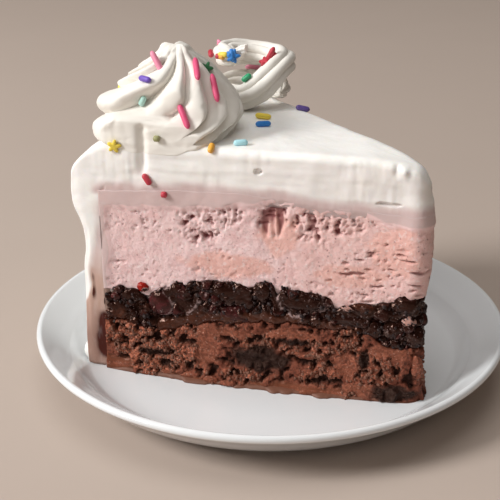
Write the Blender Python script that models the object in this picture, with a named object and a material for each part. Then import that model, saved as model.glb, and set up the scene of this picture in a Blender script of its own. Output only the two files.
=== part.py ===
"""A slice of ice cream cake on its dessert plate.

The frame: the origin is the middle of the plate's underside, +Z is up, and the slice's tip points along +X.
From the bottom up the slice is chocolate ice cream, a crunchy fudge layer, strawberry ice cream and whipped
cream, which also coats the curved outer side. Two piped swirls of whipped cream stand on top.
"""

import math

import bpy

MM = 0.001
GAP = 0.3 * MM
WELD_DISTANCE = 0.02 * MM
SHARP_ANGLE = 35

# Plate: porcelain, with a flat well, a verge that curves up from it, a sloping rim, a rolled lip and a foot ring.
PLATE_RADIUS = 82.5 * MM
PLATE_STEPS = 56
RIM_TOP = 16.7 * MM
LIP_RADIUS = 1.7 * MM
LIP_STEPS = 6
WELL_FLOOR = 4.8 * MM
WELL_RADIUS = 65 * MM
VERGE_RADIUS = 71.5 * MM
VERGE_HEIGHT = 9.8 * MM
VERGE_STEPS = 4
PLATE_THICKNESS = 3.2 * MM
FOOT_RADIUS = 46 * MM
FOOT_WIDTH = 4 * MM

# Slice: an eighth of a round cake made in a 9 inch ring, with its apex in the plate's well.
CAKE_RADIUS = 114.3 * MM
COAT = 6.8 * MM
OUTER_RADIUS = CAKE_RADIUS + COAT
HALF_ANGLE = math.radians(22.5)
APEX_X = 70 * MM
APEX_Y = -3.3 * MM
TIP_ROUNDING = 5 * MM
SMALLEST_ROUNDING = 0.4 * MM
SLICE_BASE = WELL_FLOOR + GAP
SLICE_HEIGHT = 81.6 * MM
CREAM_TOP = SLICE_BASE + SLICE_HEIGHT

# Columns round the slice's outline, and the insets at which its flat faces have rings of points.
CUT_STEPS = 14
TIP_STEPS = 5
ARC_STEPS = 12
LEVEL_INSETS = [9 * MM, 22 * MM]
TOP_INSETS = [0.6 * MM, 1.5 * MM, 2.8 * MM, 5.5 * MM, 9.5 * MM, 14 * MM, 22 * MM]

# How the ice cream has softened: the foot spreads, and the crunchy layer is lumpy.
BASE_SPREAD = 4.2 * MM
SPREAD_HEIGHT = 20 * MM
LUMP = 1.1 * MM

# How the whipped cream's edges are rounded, and how its side coat swells at the shoulder and thins below it.
FRONT_ROUNDING = 2.6 * MM
BACK_ROUNDING = 7.5 * MM
SHOULDER_ROUNDING = 12.5 * MM
TIP_SLUMP = 8 * MM
TIP_SLUMP_REACH = 11 * MM
COAT_LEVELS = [12 * MM, 26 * MM, 38 * MM, 46 * MM, 54 * MM, 61 * MM]

# Piped swirls: distance from the slice's apex, angle from its middle line, and size.
SWIRLS = {
    "swirl_front": {"reach": 96.5 * MM, "angle": -10, "radius": 25 * MM, "height": 28.5 * MM, "start": -60},
    "swirl_back": {"reach": 98 * MM, "angle": 12.5, "radius": 19 * MM, "height": 20.5 * MM, "start": 20},
}
SWIRL_RIDGES = 4
SWIRL_STARTS = 3
SWIRL_RIDGE_DEPTH = 0.17
SWIRL_TAPER = 2.6
SWIRL_STEPS = 36
SWIRL_ROWS = 20

COLOURS = {
    "plate": ((0.86, 0.87, 0.87), 0.12),
    "chocolate_ice_cream": ((0.17, 0.065, 0.04), 0.6),
    "fudge_crunch": ((0.018, 0.009, 0.008), 0.35),
    "strawberry_ice_cream": ((0.75, 0.42, 0.41), 0.55),
    "whipped_cream": ((0.87, 0.84, 0.78), 0.5),
}


def hump(at, centre, width, height):
    """A smooth rise of the given height, centred on one place."""
    return height * math.exp(-(((at - centre) / width) ** 2))


def from_apex(x, y):
    """Distance from the slice's apex and angle from its middle line, of a point in the frame."""
    return math.hypot(x - APEX_X, y - APEX_Y), math.atan2(y - APEX_Y, APEX_X - x)


def along(x, y, lean):
    """Distance in from the outer side. A layer's features lean to one side by this much in each radian."""
    reach, angle = from_apex(x, y)
    return OUTER_RADIUS - reach + lean * (angle + HALF_ANGLE)


def base(x, y):
    """Height of the slice's underside: just clear of the plate's well."""
    return SLICE_BASE


def chocolate_top(x, y):
    """Height of the chocolate ice cream: thicker halfway along the slice."""
    at = along(x, y, 18 * MM)
    plateau = math.exp(-(((at - 77 * MM) / (31 * MM)) ** 4))
    return SLICE_BASE + 17 * MM + 5.6 * MM * plateau


def fudge_top(x, y):
    """Height of the fudge layer: it climbs towards the tip, with a swell and a dip on the way."""
    at = along(x, y, 12 * MM)
    level = 29.5 * MM + 0.065 * at
    return SLICE_BASE + level + hump(at, 47 * MM, 22 * MM, 3 * MM) - hump(at, 83 * MM, 8 * MM, 2.6 * MM)


def strawberry_top(x, y):
    """Height of the strawberry ice cream: a low crown."""
    return SLICE_BASE + 64.6 * MM + hump(along(x, y, 9 * MM), 52 * MM, 32 * MM, 4.6 * MM)


def edge_drop(distance, rounding):
    """How far a rounded edge lies below the flat top, at a distance in from the edge."""
    if distance >= rounding:
        return 0.0
    return rounding - math.sqrt(rounding**2 - (rounding - max(distance, 0.0)) ** 2)


def cream_top(x, y):
    """Height of the whipped cream: flat, with rounded edges, sinking at the tip."""
    reach, angle = from_apex(x, y)
    towards_back = 0.5 + 0.5 * angle / HALF_ANGLE
    cut_rounding = FRONT_ROUNDING + (BACK_ROUNDING - FRONT_ROUNDING) * towards_back
    drop = edge_drop(OUTER_RADIUS - reach, SHOULDER_ROUNDING)
    drop += edge_drop(reach * math.sin(HALF_ANGLE - abs(angle)), cut_rounding)
    return CREAM_TOP - drop - hump(reach, 0, TIP_SLUMP_REACH, TIP_SLUMP)


def raised(surface):
    """The same surface, a gap higher: the underside of what lies on it."""
    return lambda x, y: surface(x, y) + GAP


def outline(core_radius, arc_radius, inset=0.0):
    """Columns (point, outward direction, kind) anticlockwise round the slice from its front outer corner.

    The cut faces start at core_radius from the apex and the outer side lies at arc_radius. Where the two
    differ, the outer side's corners stand clear of the cut faces' first columns.
    """
    sine, cosine = math.sin(HALF_ANGLE), math.cos(HALF_ANGLE)
    rounding = max(TIP_ROUNDING - inset, SMALLEST_ROUNDING)
    apex = inset / sine
    tip_centre = apex + rounding / sine

    def place(back, side):
        """A point in the frame from its distance behind the apex and its distance to the left of the middle."""
        return APEX_X - back, APEX_Y + side

    def cut_corner(radius, side):
        """Where an arc round the apex meets a cut face that is moved in by the inset."""
        run = math.sqrt(radius**2 - inset**2)
        return run * cosine + inset * sine, side * (run * sine - inset * cosine)

    def cut_face(side):
        start = cut_corner(core_radius - inset, side)
        run = rounding / math.tan(HALF_ANGLE)
        end = apex + run * cosine, side * run * sine
        columns = []
        for step in range(CUT_STEPS + 1):
            share = step / CUT_STEPS
            point = place(*(a + (b - a) * share for a, b in zip(start, end)))
            columns.append((point, (sine, side * cosine), "cut"))
        return columns

    def tip():
        columns = []
        for step in range(1, TIP_STEPS):
            turn = (math.pi / 2 - HALF_ANGLE) * (2 * step / TIP_STEPS - 1)
            out = math.cos(turn), math.sin(turn)
            columns.append((place(tip_centre - rounding * out[0], rounding * out[1]), out, "tip"))
        return columns

    def outer_side():
        corner = cut_corner(arc_radius - inset, 1)
        spread = math.atan2(corner[1], corner[0])
        columns = []
        for step in range(ARC_STEPS + 1):
            turn = spread * (1 - 2 * step / ARC_STEPS)
            out = -math.cos(turn), math.sin(turn)
            radius = arc_radius - inset
            columns.append((place(-radius * out[0], radius * out[1]), out, "arc"))
        return columns

    return cut_face(-1) + tip() + cut_face(1)[::-1] + outer_side()


def material(name):
    """The named material, made once."""
    if name in bpy.data.materials:
        return bpy.data.materials[name]
    colour, roughness = COLOURS[name]
    made = bpy.data.materials.new(name)
    made.use_nodes = True
    shader = made.node_tree.nodes["Principled BSDF"]
    shader.inputs["Base Color"].default_value = (*colour, 1)
    shader.inputs["Roughness"].default_value = roughness
    return made


def solid(name, finish, rings):
    """A closed object from rings of points, each joined to the next, with the first and last ring filled."""
    columns = len(rings[0])
    points = [point for ring in rings for point in ring]
    faces = []
    for row in range(len(rings) - 1):
        for i in range(columns):
            j = (i + 1) % columns
            low, high = row * columns, (row + 1) * columns
            faces.append((low + i, low + j, high + j, high + i))
    for ring, first, turned in ((rings[0], 0, True), (rings[-1], len(points) - columns, False)):
        middle = len(points)
        points.append(tuple(sum(point[k] for point in ring) / columns for k in range(3)))
        for i in range(columns):
            ends = (first + i, first + (i + 1) % columns)
            faces.append((middle, *(reversed(ends) if turned else ends)))
    mesh = bpy.data.meshes.new(name)
    mesh.from_pydata(points, [], faces)
    mesh.materials.append(material(finish))
    mesh.shade_smooth()
    mesh.set_sharp_from_angle(angle=math.radians(SHARP_ANGLE))
    made = bpy.data.objects.new(name, mesh)
    bpy.context.scene.collection.objects.link(made)
    weld = made.modifiers.new("weld", "WELD")
    weld.merge_threshold = WELD_DISTANCE
    split = made.modifiers.new("split", "TRIANGULATE")
    split.quad_method = "SHORTEST_DIAGONAL"


def level_ring(radius, inset, height):
    """A ring on one of the slice's level faces."""
    return [(x, y, height(x, y)) for (x, y), _, _ in outline(radius, radius, inset)]


def layer(name, bottom, top, shares, push):
    """A layer that runs through the slice between two heights, its cut sides pushed out by push(x, y, z)."""

    def side_ring(share):
        ring = []
        for (x, y), (out_x, out_y), kind in outline(CAKE_RADIUS, CAKE_RADIUS):
            z = bottom(x, y) + (top(x, y) - bottom(x, y)) * share
            out = 0.0 if kind == "arc" else push(x, y, z)
            x, y = x + out_x * out, y + out_y * out
            ring.append((x, y, bottom(x, y) + (top(x, y) - bottom(x, y)) * share))
        return ring

    rings = [level_ring(CAKE_RADIUS, inset, bottom) for inset in reversed(LEVEL_INSETS)]
    rings += [side_ring(share) for share in shares]
    rings += [level_ring(CAKE_RADIUS, inset, top) for inset in LEVEL_INSETS]
    solid(name, name, rings)


def flush(x, y, z):
    """A side that is flush with the cut."""
    return 0.0


def spread_foot(x, y, z):
    """The chocolate's foot has softened and spread, most of all halfway along the cut."""
    reach, _ = from_apex(x, y)
    middle = math.sin(math.pi * min(1.0, reach / OUTER_RADIUS))
    low = max(0.0, 1 - (z - SLICE_BASE) / SPREAD_HEIGHT)
    return BASE_SPREAD * middle**0.7 * low**1.5


def lumpy(x, y, z):
    """The crunchy layer stands out from the cut in lumps."""
    wave = math.sin(x / (4.1 * MM) + z / (5 * MM)) * math.cos(y / (5.3 * MM) - z / (3.7 * MM))
    return LUMP * (0.5 + 0.5 * wave)


def coat_swell(level):
    """The top cream hangs over the side coat as a soft skirt, and the coat is thinnest just below it."""
    return hump(level, 60 * MM, 6 * MM, 1.5 * MM) - hump(level, 46 * MM, 7 * MM, 1.6 * MM)


def cream(name):
    """Whipped cream over the top, and down the outer side to the plate, as one solid."""
    core = CAKE_RADIUS + GAP
    under = raised(strawberry_top)
    inner = outline(core, core)
    outer = outline(core, OUTER_RADIUS)

    def wall_ring(columns, level):
        """A ring round the side coat at one level, which elsewhere stays on the top layer's lower edge."""
        swell = coat_swell(level) if columns is outer else 0.0
        ring = []
        for ((x, y), out, kind), ((edge_x, edge_y), _, _) in zip(columns, inner):
            if kind == "arc":
                ring.append((x + out[0] * swell, y + out[1] * swell, SLICE_BASE + level))
            else:
                ring.append((edge_x, edge_y, under(edge_x, edge_y)))
        return ring

    rings = [level_ring(core, inset, under) for inset in (*reversed(LEVEL_INSETS), 0.0)]
    rings += [wall_ring(inner, 0.0), wall_ring(outer, 0.0)]
    rings += [wall_ring(outer, level) for level in COAT_LEVELS]
    for inset in (0.0, *TOP_INSETS):
        rings.append([(x, y, cream_top(x, y)) for (x, y), _, _ in outline(core, OUTER_RADIUS, inset)])
    solid(name, "whipped_cream", rings)


def swirl_place(name):
    """The middle of a swirl's foot."""
    sizes = SWIRLS[name]
    angle = math.radians(sizes["angle"])
    return APEX_X - sizes["reach"] * math.cos(angle), APEX_Y + sizes["reach"] * math.sin(angle)


def swirl_limits(name):
    """Upright planes (point, outward direction) that a swirl stays inside: its cut face and its neighbour."""
    side = math.copysign(1.0, SWIRLS[name]["angle"])
    cut = (APEX_X, APEX_Y), (math.sin(HALF_ANGLE), side * math.cos(HALF_ANGLE))
    other = next(key for key in SWIRLS if key != name)
    (x, y), (other_x, other_y) = swirl_place(name), swirl_place(other)
    apart = math.hypot(other_x - x, other_y - y)
    towards = (other_x - x) / apart, (other_y - y) / apart
    share = SWIRLS[name]["radius"] / (SWIRLS[name]["radius"] + SWIRLS[other]["radius"])
    run = apart * share - GAP / 2
    return [cut, ((x + towards[0] * run, y + towards[1] * run), towards)]


def swirl(name, reach, angle, radius, height, start):
    """A piped swirl: ridges from a star tip that climb anticlockwise round a cone."""
    middle_x, middle_y = swirl_place(name)
    limits = swirl_limits(name)

    def ridged_radius(share, around):
        turn = (around - math.radians(start)) / (2 * math.pi)
        ridge = abs(math.sin(math.pi * (SWIRL_RIDGES * share - SWIRL_STARTS * turn))) ** 0.8
        taper = 1 - share**SWIRL_TAPER
        return radius * taper * (1 - SWIRL_RIDGE_DEPTH * (1 - ridge))

    def kept(x, y):
        """The point, moved straight back to each plane that it lies beyond."""
        for (plane_x, plane_y), (out_x, out_y) in limits:
            past = (x - plane_x) * out_x + (y - plane_y) * out_y
            if past > 0:
                x, y = x - out_x * past, y - out_y * past
        return x, y

    rings = []
    for row in range(SWIRL_ROWS):
        share = row / SWIRL_ROWS
        ring = []
        for step in range(SWIRL_STEPS):
            around = 2 * math.pi * step / SWIRL_STEPS
            out = ridged_radius(share, around)
            x, y = kept(middle_x + out * math.cos(around), middle_y + out * math.sin(around))
            ring.append((x, y, CREAM_TOP + GAP + height * share))
        rings.append(ring)
    solid(name, "whipped_cream", rings)


def plate(name):
    """The plate as one turned profile, from the middle of its underside round to the middle of its well."""
    lip_centre = PLATE_RADIUS - LIP_RADIUS
    lip_height = RIM_TOP - LIP_RADIUS
    underside = WELL_FLOOR - PLATE_THICKNESS
    profile = [
        (FOOT_RADIUS - FOOT_WIDTH, underside),
        (FOOT_RADIUS - FOOT_WIDTH / 2, 0.0),
        (FOOT_RADIUS + FOOT_WIDTH / 2, 0.0),
        (FOOT_RADIUS + FOOT_WIDTH, underside),
        (WELL_RADIUS, underside + 0.5 * MM),
        (VERGE_RADIUS + PLATE_THICKNESS / 2, VERGE_HEIGHT - PLATE_THICKNESS),
    ]
    for step in range(LIP_STEPS + 1):
        turn = math.radians(-50 + 180 * step / LIP_STEPS)
        profile.append((lip_centre + LIP_RADIUS * math.cos(turn), lip_height + LIP_RADIUS * math.sin(turn)))
    for step in range(VERGE_STEPS, -1, -1):
        share = step / VERGE_STEPS
        radius = WELL_RADIUS + (VERGE_RADIUS - WELL_RADIUS) * share
        profile.append((radius, WELL_FLOOR + (VERGE_HEIGHT - WELL_FLOOR) * share**1.6))
    turns = [2 * math.pi * step / PLATE_STEPS for step in range(PLATE_STEPS)]
    solid(name, name, [[(r * math.cos(turn), r * math.sin(turn), z) for turn in turns] for r, z in profile])


def clear_scene():
    for thing in list(bpy.data.objects):
        bpy.data.objects.remove(thing)


def main():
    clear_scene()
    plate("plate")
    layer("chocolate_ice_cream", base, chocolate_top, (0, 0.12, 0.35, 0.65, 1), spread_foot)
    layer("fudge_crunch", raised(chocolate_top), fudge_top, (0, 0.3, 0.7, 1), lumpy)
    layer("strawberry_ice_cream", raised(fudge_top), strawberry_top, (0, 0.33, 0.67, 1), flush)
    cream("whipped_cream")
    for name, sizes in SWIRLS.items():
        swirl(name, **sizes)


main()
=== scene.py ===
"""The looks of a slice of ice cream cake on its dessert plate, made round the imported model.

From the bottom up the slice is chocolate ice cream, crunchy fudge, strawberry ice cream and whipped cream.
The cream also coats the outer side, and two piped swirls with sprinkles stand on it. Meshes are in metres,
and the sums before them in millimetres. The origin is in the middle of the plate's underside, and the
slice's tip points towards +X.
"""

import math

import bpy
import bmesh
from bpy.props import FloatProperty, FloatVectorProperty, IntProperty, PointerProperty
from mathutils import Matrix, Vector, noise
from mathutils.bvhtree import BVHTree


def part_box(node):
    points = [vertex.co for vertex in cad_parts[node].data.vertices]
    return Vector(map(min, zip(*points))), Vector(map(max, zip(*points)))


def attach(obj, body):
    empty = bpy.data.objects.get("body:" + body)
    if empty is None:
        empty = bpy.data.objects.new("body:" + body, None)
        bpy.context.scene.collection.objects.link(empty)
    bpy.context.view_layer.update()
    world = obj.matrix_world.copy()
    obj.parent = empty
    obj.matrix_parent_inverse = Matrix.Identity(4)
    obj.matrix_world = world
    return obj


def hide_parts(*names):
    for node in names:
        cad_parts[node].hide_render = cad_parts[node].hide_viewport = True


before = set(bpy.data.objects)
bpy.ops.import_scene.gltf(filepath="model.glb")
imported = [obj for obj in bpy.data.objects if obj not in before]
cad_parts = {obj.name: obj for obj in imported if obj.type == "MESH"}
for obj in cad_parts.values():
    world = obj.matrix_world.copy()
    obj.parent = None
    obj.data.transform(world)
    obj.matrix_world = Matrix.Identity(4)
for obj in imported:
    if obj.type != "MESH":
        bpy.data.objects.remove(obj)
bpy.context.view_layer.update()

bl_info = {
    "name": "Ice Cream Cake Slice",
    "version": (1, 0, 0),
    "blender": (4, 5, 0),
    "location": "View3D > Sidebar > Cake",
    "description": "Builds a slice of layered ice cream cake on its plate, with piped swirls and sprinkles",
    "category": "Add Mesh",
}

MM = 0.001
PLATE_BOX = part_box("plate")

# The slice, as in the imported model. Lengths are in millimetres until a mesh is made.
PLATE_RADIUS = PLATE_BOX[1].x / MM
OUTER_RADIUS = 121.1
CORE_RADIUS = 114.3
HALF_ANGLE = math.radians(22.5)
APEX_X = 70.0
APEX_Y = -3.3
TIP_ROUNDING = 5.0
SMALLEST_ROUNDING = 0.4
SLICE_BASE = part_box("chocolate_ice_cream")[0].z / MM
CREAM_TOP = SLICE_BASE + 81.6
WELL_FLOOR = SLICE_BASE - 0.3

# Upper edges of the two lower layers on a cut face: runs in from the outer side, and levels above the
# slice's underside.
CHOCOLATE_EDGE = [
    (0, 18), (14, 17.5), (22, 15.5), (30, 16), (38, 19), (48, 20.5), (62, 22), (71, 23), (80, 22), (92, 23),
    (97, 22), (102, 18.5), (108, 18), (116, 19),
]
FUDGE_EDGE = [
    (0, 28), (8, 29.5), (13, 30.5), (18, 29.5), (23, 28), (27, 32), (35, 33.5), (42, 36), (52, 36), (58, 35),
    (62, 37.5), (65, 36), (66.5, 33.5), (69, 36), (77, 35.5), (84, 33.5), (86, 30.5), (92, 32), (98, 33),
    (101, 34.5), (104.5, 34), (108, 37.5), (111, 36), (116, 36),
]
# How far along the back cut face the front one's features are shifted.
BACK_SHIFT = 9.0

# Each swirl's place as seen from the slice's apex, the radius of its foot and its height.
SWIRLS = {
    "swirl_front": {"reach": 96.5, "angle": -12.0, "radius": 25, "height": 28.4},
    "swirl_back": {"reach": 98, "angle": 12.5, "radius": 19, "height": 20.5},
}


# ---------------------------------------------------------------- settings


def length(name, description, default, **limits):
    """A size in metres, given here in millimetres."""
    return FloatProperty(
        name=name, description=description, default=default * MM, unit="LENGTH", subtype="DISTANCE",
        precision=5, **limits,
    )


def colour(name, description, default):
    return FloatVectorProperty(
        name=name, description=description, default=default, subtype="COLOR", size=3, min=0, max=1
    )


class CakeSizes(bpy.types.PropertyGroup):
    """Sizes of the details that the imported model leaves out."""

    column: length("Column", "Spacing of the points on the cut faces", 0.42, min=0.1 * MM)
    pore: length("Pore", "Spacing of the pores in the strawberry ice cream", 1.7)
    crumb: length("Crumb", "Spacing of the crumbs in the chocolate ice cream", 1.25)
    crunch: length("Crunch", "Spacing of the lumps in the fudge layer", 3.6)
    recess: length("Recess", "How far the strawberry lies behind the smeared edge of the cream", 0.9)
    drag: length("Drag", "Depth of the knife's marks in the cream", 0.25)
    ridge: length("Ridge", "Depth of the grooves between a swirl's ridges", 4.4)
    sprinkle_width: length("Sprinkle width", "Thickness of a sprinkle", 2.0)
    crumb_seed: IntProperty(name="Crumb seed", description="Changes where the loose crumbs lie", default=4)


class CakeColours(bpy.types.PropertyGroup):
    """Colours of the cake, as linear values."""

    porcelain: colour("Porcelain", "The plate's glaze", (0.84, 0.865, 0.885))
    cream: colour("Cream", "Whipped cream", (0.955, 0.94, 0.915))
    cream_warm: colour("Warm cream", "Whipped cream where it is thin", (0.91, 0.88, 0.83))
    # Painted shade: the colour of the cream in the bottoms of the swirls' grooves.
    cream_crease_shade: colour("Creased cream", "Bottoms of the swirls' grooves", (0.74, 0.58, 0.45))
    mauve: colour("Mauve", "Cream smeared over the strawberry", (0.66, 0.50, 0.485))
    stain_tan: colour("Tan stain", "Cream smeared with fudge", (0.57, 0.38, 0.31))
    drip: colour("Drip", "Fudge that has run over the coat's edge", (0.062, 0.008, 0.003))
    strawberry: colour("Strawberry", "Strawberry ice cream", (0.91, 0.66, 0.65))
    mauve_pale: colour("Pale strawberry", "Milky grains of the strawberry", (0.93, 0.76, 0.74))
    strawberry_deep: colour("Deep strawberry", "Strawberry ice cream in the hollows", (0.66, 0.34, 0.33))
    peach: colour("Peach", "Warm patches of the strawberry", (0.84, 0.47, 0.40))
    # Painted shade in the strawberry's pits, pores and cracks; also the colour of its scattered dark dots.
    pit: colour("Pit", "Bottoms of the strawberry's pits", (0.27, 0.085, 0.085))
    chocolate: colour("Chocolate", "Chocolate ice cream", (0.155, 0.040, 0.023))
    # Partly the paler colour of smears and crumbs, partly painted light on the crumbs' tops.
    chocolate_pale_and_lit: colour("Pale chocolate", "Smooth smears and crumb tops", (0.54, 0.175, 0.10))
    # Painted highlights on the crumbs' tops.
    crumb_glint: colour("Light crumb", "Frosted tops of the crumbs", (0.80, 0.46, 0.35))
    chocolate_smear: colour("Chocolate smear", "Melted streaks of the chocolate", (0.155, 0.048, 0.024))
    # Painted shade in the chocolate's holes and in the low places of its fine relief.
    chocolate_pit_shade: colour("Dark chocolate", "Pits of the chocolate", (0.022, 0.006, 0.004))
    fudge: colour("Fudge", "Crunchy fudge", (0.015, 0.004, 0.0027))
    fudge_brown: colour("Brown fudge", "Fudge with cream in it", (0.058, 0.018, 0.010))
    plum: colour("Plum", "Cherry in the fudge", (0.068, 0.013, 0.015))
    # Painted highlights: pale glints, lines along glossy folds and rims of lumps on the fudge.
    vein: colour("Vein", "Milky veins and rims in the fudge", (0.42, 0.30, 0.29))
    nut: colour("Nut", "Bits of nut in the fudge", (0.44, 0.24, 0.20))
    cherry: colour("Cherry", "The red bit of cherry", (0.28, 0.012, 0.008))
    table: colour("Table", "The table top", (0.50, 0.415, 0.36))


class SprinkleColours(bpy.types.PropertyGroup):
    """Colours of the sprinkles, as linear values."""

    pink: colour("Pink", "Deep pink rods", (0.76, 0.07, 0.20))
    rose: colour("Rose", "Pale pink sprinkles", (0.88, 0.28, 0.42))
    red: colour("Red", "Red sprinkles", (0.50, 0.007, 0.032))
    orange: colour("Orange", "Orange sprinkles", (0.88, 0.42, 0.03))
    yellow: colour("Yellow", "Yellow sprinkles", (0.90, 0.70, 0.06))
    olive: colour("Olive", "Dull green sprinkles", (0.30, 0.30, 0.12))
    green: colour("Green", "Bright green sprinkles", (0.01, 0.36, 0.15))
    forest: colour("Forest", "Dark green sprinkles", (0.006, 0.15, 0.04))
    mint: colour("Mint", "Pale green sprinkles", (0.48, 0.80, 0.72))
    sky: colour("Sky", "Pale blue sprinkles", (0.42, 0.76, 0.84))
    blue: colour("Blue", "Blue sprinkles", (0.008, 0.21, 0.66))
    purple: colour("Purple", "Purple sprinkles", (0.15, 0.07, 0.50))
    violet: colour("Violet", "Dark purple sprinkles", (0.08, 0.035, 0.24))


def sizes():
    return bpy.context.scene.cake_sizes


def mm(value):
    """A length property in millimetres."""
    return value / MM


def paint(name, share=1.0):
    """A colour setting, or a darker share of it, with full opacity."""
    return (*(share * part for part in getattr(bpy.context.scene.cake_colours, name)), 1.0)


# ---------------------------------------------------------------- nodes


class Socket:
    """An output of a node. Arithmetic on it adds Math nodes to its tree."""

    def __init__(self, tree, output):
        self.tree, self.output = tree, output

    def math(self, operation, *others):
        """A Math node that works on this value first and then on the others."""
        return sum_node(self.tree, operation, self, *others)

    def __add__(self, other):
        return sum_node(self.tree, "ADD", self, other)

    def __radd__(self, other):
        return sum_node(self.tree, "ADD", other, self)

    def __sub__(self, other):
        return sum_node(self.tree, "SUBTRACT", self, other)

    def __rsub__(self, other):
        return sum_node(self.tree, "SUBTRACT", other, self)

    def __mul__(self, other):
        return sum_node(self.tree, "MULTIPLY", self, other)

    def __rmul__(self, other):
        return sum_node(self.tree, "MULTIPLY", other, self)

    def __truediv__(self, other):
        return sum_node(self.tree, "DIVIDE", self, other)

    def __rtruediv__(self, other):
        return sum_node(self.tree, "DIVIDE", other, self)

    def __pow__(self, other):
        return sum_node(self.tree, "POWER", self, other)

    def between(self, low, high):
        """0 at the low value, 1 at the high one, and smooth between them."""
        span = {"From Min": low, "From Max": high, "Value": self}
        return node(self.tree, "ShaderNodeMapRange", {"interpolation_type": "SMOOTHSTEP"}, span)


def node(tree, kind, settings=None, inputs=None, output=0):
    """Adds a node: first its settings, then its sockets' values or links. Returns one of its outputs."""
    made = tree.nodes.new(kind)
    for name, value in (settings or {}).items():
        setattr(made, name, value)
    for key, value in (inputs or {}).items():
        if isinstance(value, Socket):
            tree.links.new(value.output, made.inputs[key])
        else:
            made.inputs[key].default_value = value
    return Socket(tree, made.outputs[output])


def sum_node(tree, operation, *values):
    """A Math node over numbers and sockets."""
    return node(tree, "ShaderNodeMath", {"operation": operation}, dict(enumerate(values)))


def parts(vector):
    """The x, y and z of a vector socket."""
    split = node(vector.tree, "ShaderNodeSeparateXYZ", None, {0: vector}).output.node
    return [Socket(vector.tree, output) for output in split.outputs]


# The Texture Coordinate node's output for places in the object's own space.
OBJECT_COORDINATES = 3


class Finish:
    """A material with one Principled shader. Constants go straight onto the shader's sockets."""

    def __init__(self, name, **constants):
        self.material = bpy.data.materials.new(name)
        self.material.use_nodes = True
        self.tree = self.material.node_tree
        self.shader = self.tree.nodes["Principled BSDF"]
        for key, value in constants.items():
            self.shader.inputs[key.replace("_", " ")].default_value = value
        self.place = self.node("ShaderNodeTexCoord", output=OBJECT_COORDINATES)

    def node(self, kind, settings=None, inputs=None, output=0):
        return node(self.tree, kind, settings, inputs, output)

    def clouds(self, size, detail=3, place=None, roughness=0.55):
        """Soft noise whose patches are about this many millimetres across."""
        inputs = {"Scale": 1 / (size * MM), "Detail": detail, "Roughness": roughness}
        return self.node("ShaderNodeTexNoise", None, {"Vector": place or self.place, **inputs})

    def cells(self, size):
        """Distance to the nearest of many scattered points, this many millimetres apart."""
        return self.node("ShaderNodeTexVoronoi", None, {"Vector": self.place, "Scale": 1 / (size * MM)})

    def stretched(self, x, y, z):
        """Object coordinates multiplied along each axis."""
        scale = {"Vector": self.place, "Scale": (x, y, z)}
        return self.node("ShaderNodeMapping", {"vector_type": "POINT"}, scale)

    def attribute(self, name):
        """A mesh's float attribute."""
        return self.node("ShaderNodeAttribute", {"attribute_name": name}, output=2)

    def mix(self, share, first, second):
        """The first colour where the share is 0, the second where it is 1."""
        return self.node("ShaderNodeMix", {"data_type": "RGBA"}, {0: share, 6: first, 7: second}, 2)

    def set(self, socket, value):
        self.tree.links.new(value.output, self.shader.inputs[socket])

    def bump(self, height, depth, strength=1.0):
        """Fine relief this many millimetres deep."""
        inputs = {"Height": height, "Distance": depth * MM, "Strength": strength}
        self.set("Normal", self.node("ShaderNodeBump", None, inputs))


def geometry_tree(name, **inputs):
    """A Geometry Nodes tree with named inputs, each given with its kind, and the sockets of those inputs."""
    tree = bpy.data.node_groups.new(name, "GeometryNodeTree")
    for key, kind in inputs.items():
        tree.interface.new_socket(key, in_out="INPUT", socket_type="NodeSocket" + kind)
    tree.interface.new_socket("Result", in_out="OUTPUT", socket_type="NodeSocketGeometry")
    given = tree.nodes.new("NodeGroupInput")
    return tree, [Socket(tree, given.outputs[i]) for i in range(len(inputs))]


def end_tree(tree, shape, finish):
    """The end of every tree: instances made real, smooth shading and the material."""
    solid = node(tree, "GeometryNodeRealizeInstances", None, {"Geometry": shape})
    shaded = node(tree, "GeometryNodeSetShadeSmooth", None, {"Geometry": solid})
    painted = node(tree, "GeometryNodeSetMaterial", None, {"Geometry": shaded, "Material": finish})
    tree.links.new(painted.output, tree.nodes.new("NodeGroupOutput").inputs[0])
    return tree


def stored(tree, name, kind="FLOAT"):
    """An attribute of the geometry that a tree works on."""
    return node(tree, "GeometryNodeInputNamedAttribute", {"data_type": kind}, {"Name": name})


def run_nodes(name, source, tree, values):
    """Runs a Geometry Nodes tree on an object and returns the result as a plain mesh object of its own."""
    modifier = source.modifiers.new(tree.name, "NODES")
    modifier.node_group = tree
    for item in tree.interface.items_tree:
        if item.item_type == "SOCKET" and item.in_out == "INPUT" and item.name in values:
            modifier[item.identifier] = values[item.name]
    shaped = source.evaluated_get(bpy.context.evaluated_depsgraph_get())
    mesh = bpy.data.meshes.new_from_object(shaped)
    mesh.name = name
    source.modifiers.remove(modifier)
    made = bpy.data.objects.new(name, mesh)
    bpy.context.scene.collection.objects.link(made)
    return made


# ---------------------------------------------------------------- the slice's form


def hump(at, centre, width, height=1.0):
    """A smooth rise of the given height, centred on one place."""
    return height * math.exp(-(((at - centre) / width) ** 2))


def smooth(value, low, high):
    """0 below the low value, 1 above the high one, and smooth between them."""
    share = min(1.0, max(0.0, (value - low) / (high - low)))
    return share * share * (3 - 2 * share)


def from_apex(x, y):
    """Distance from the slice's apex and angle from its middle line."""
    return math.hypot(x - APEX_X, y - APEX_Y), math.atan2(y - APEX_Y, APEX_X - x)


def grain(x, y, z, size, seed=0.0):
    """Smooth noise from -1 to 1 with features about this size."""
    return noise.noise(Vector((x / size + seed, y / size - seed, z / size + 2 * seed)))


def rough(x, y, z, size, seed=0.0, octaves=3):
    """Several layers of noise, each half the size of the one before."""
    total, strength = 0.0, 1.0
    for octave in range(octaves):
        total += strength * grain(x, y, z, size / 2**octave, seed + 7.1 * octave)
        strength *= 0.5
    return total


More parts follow.
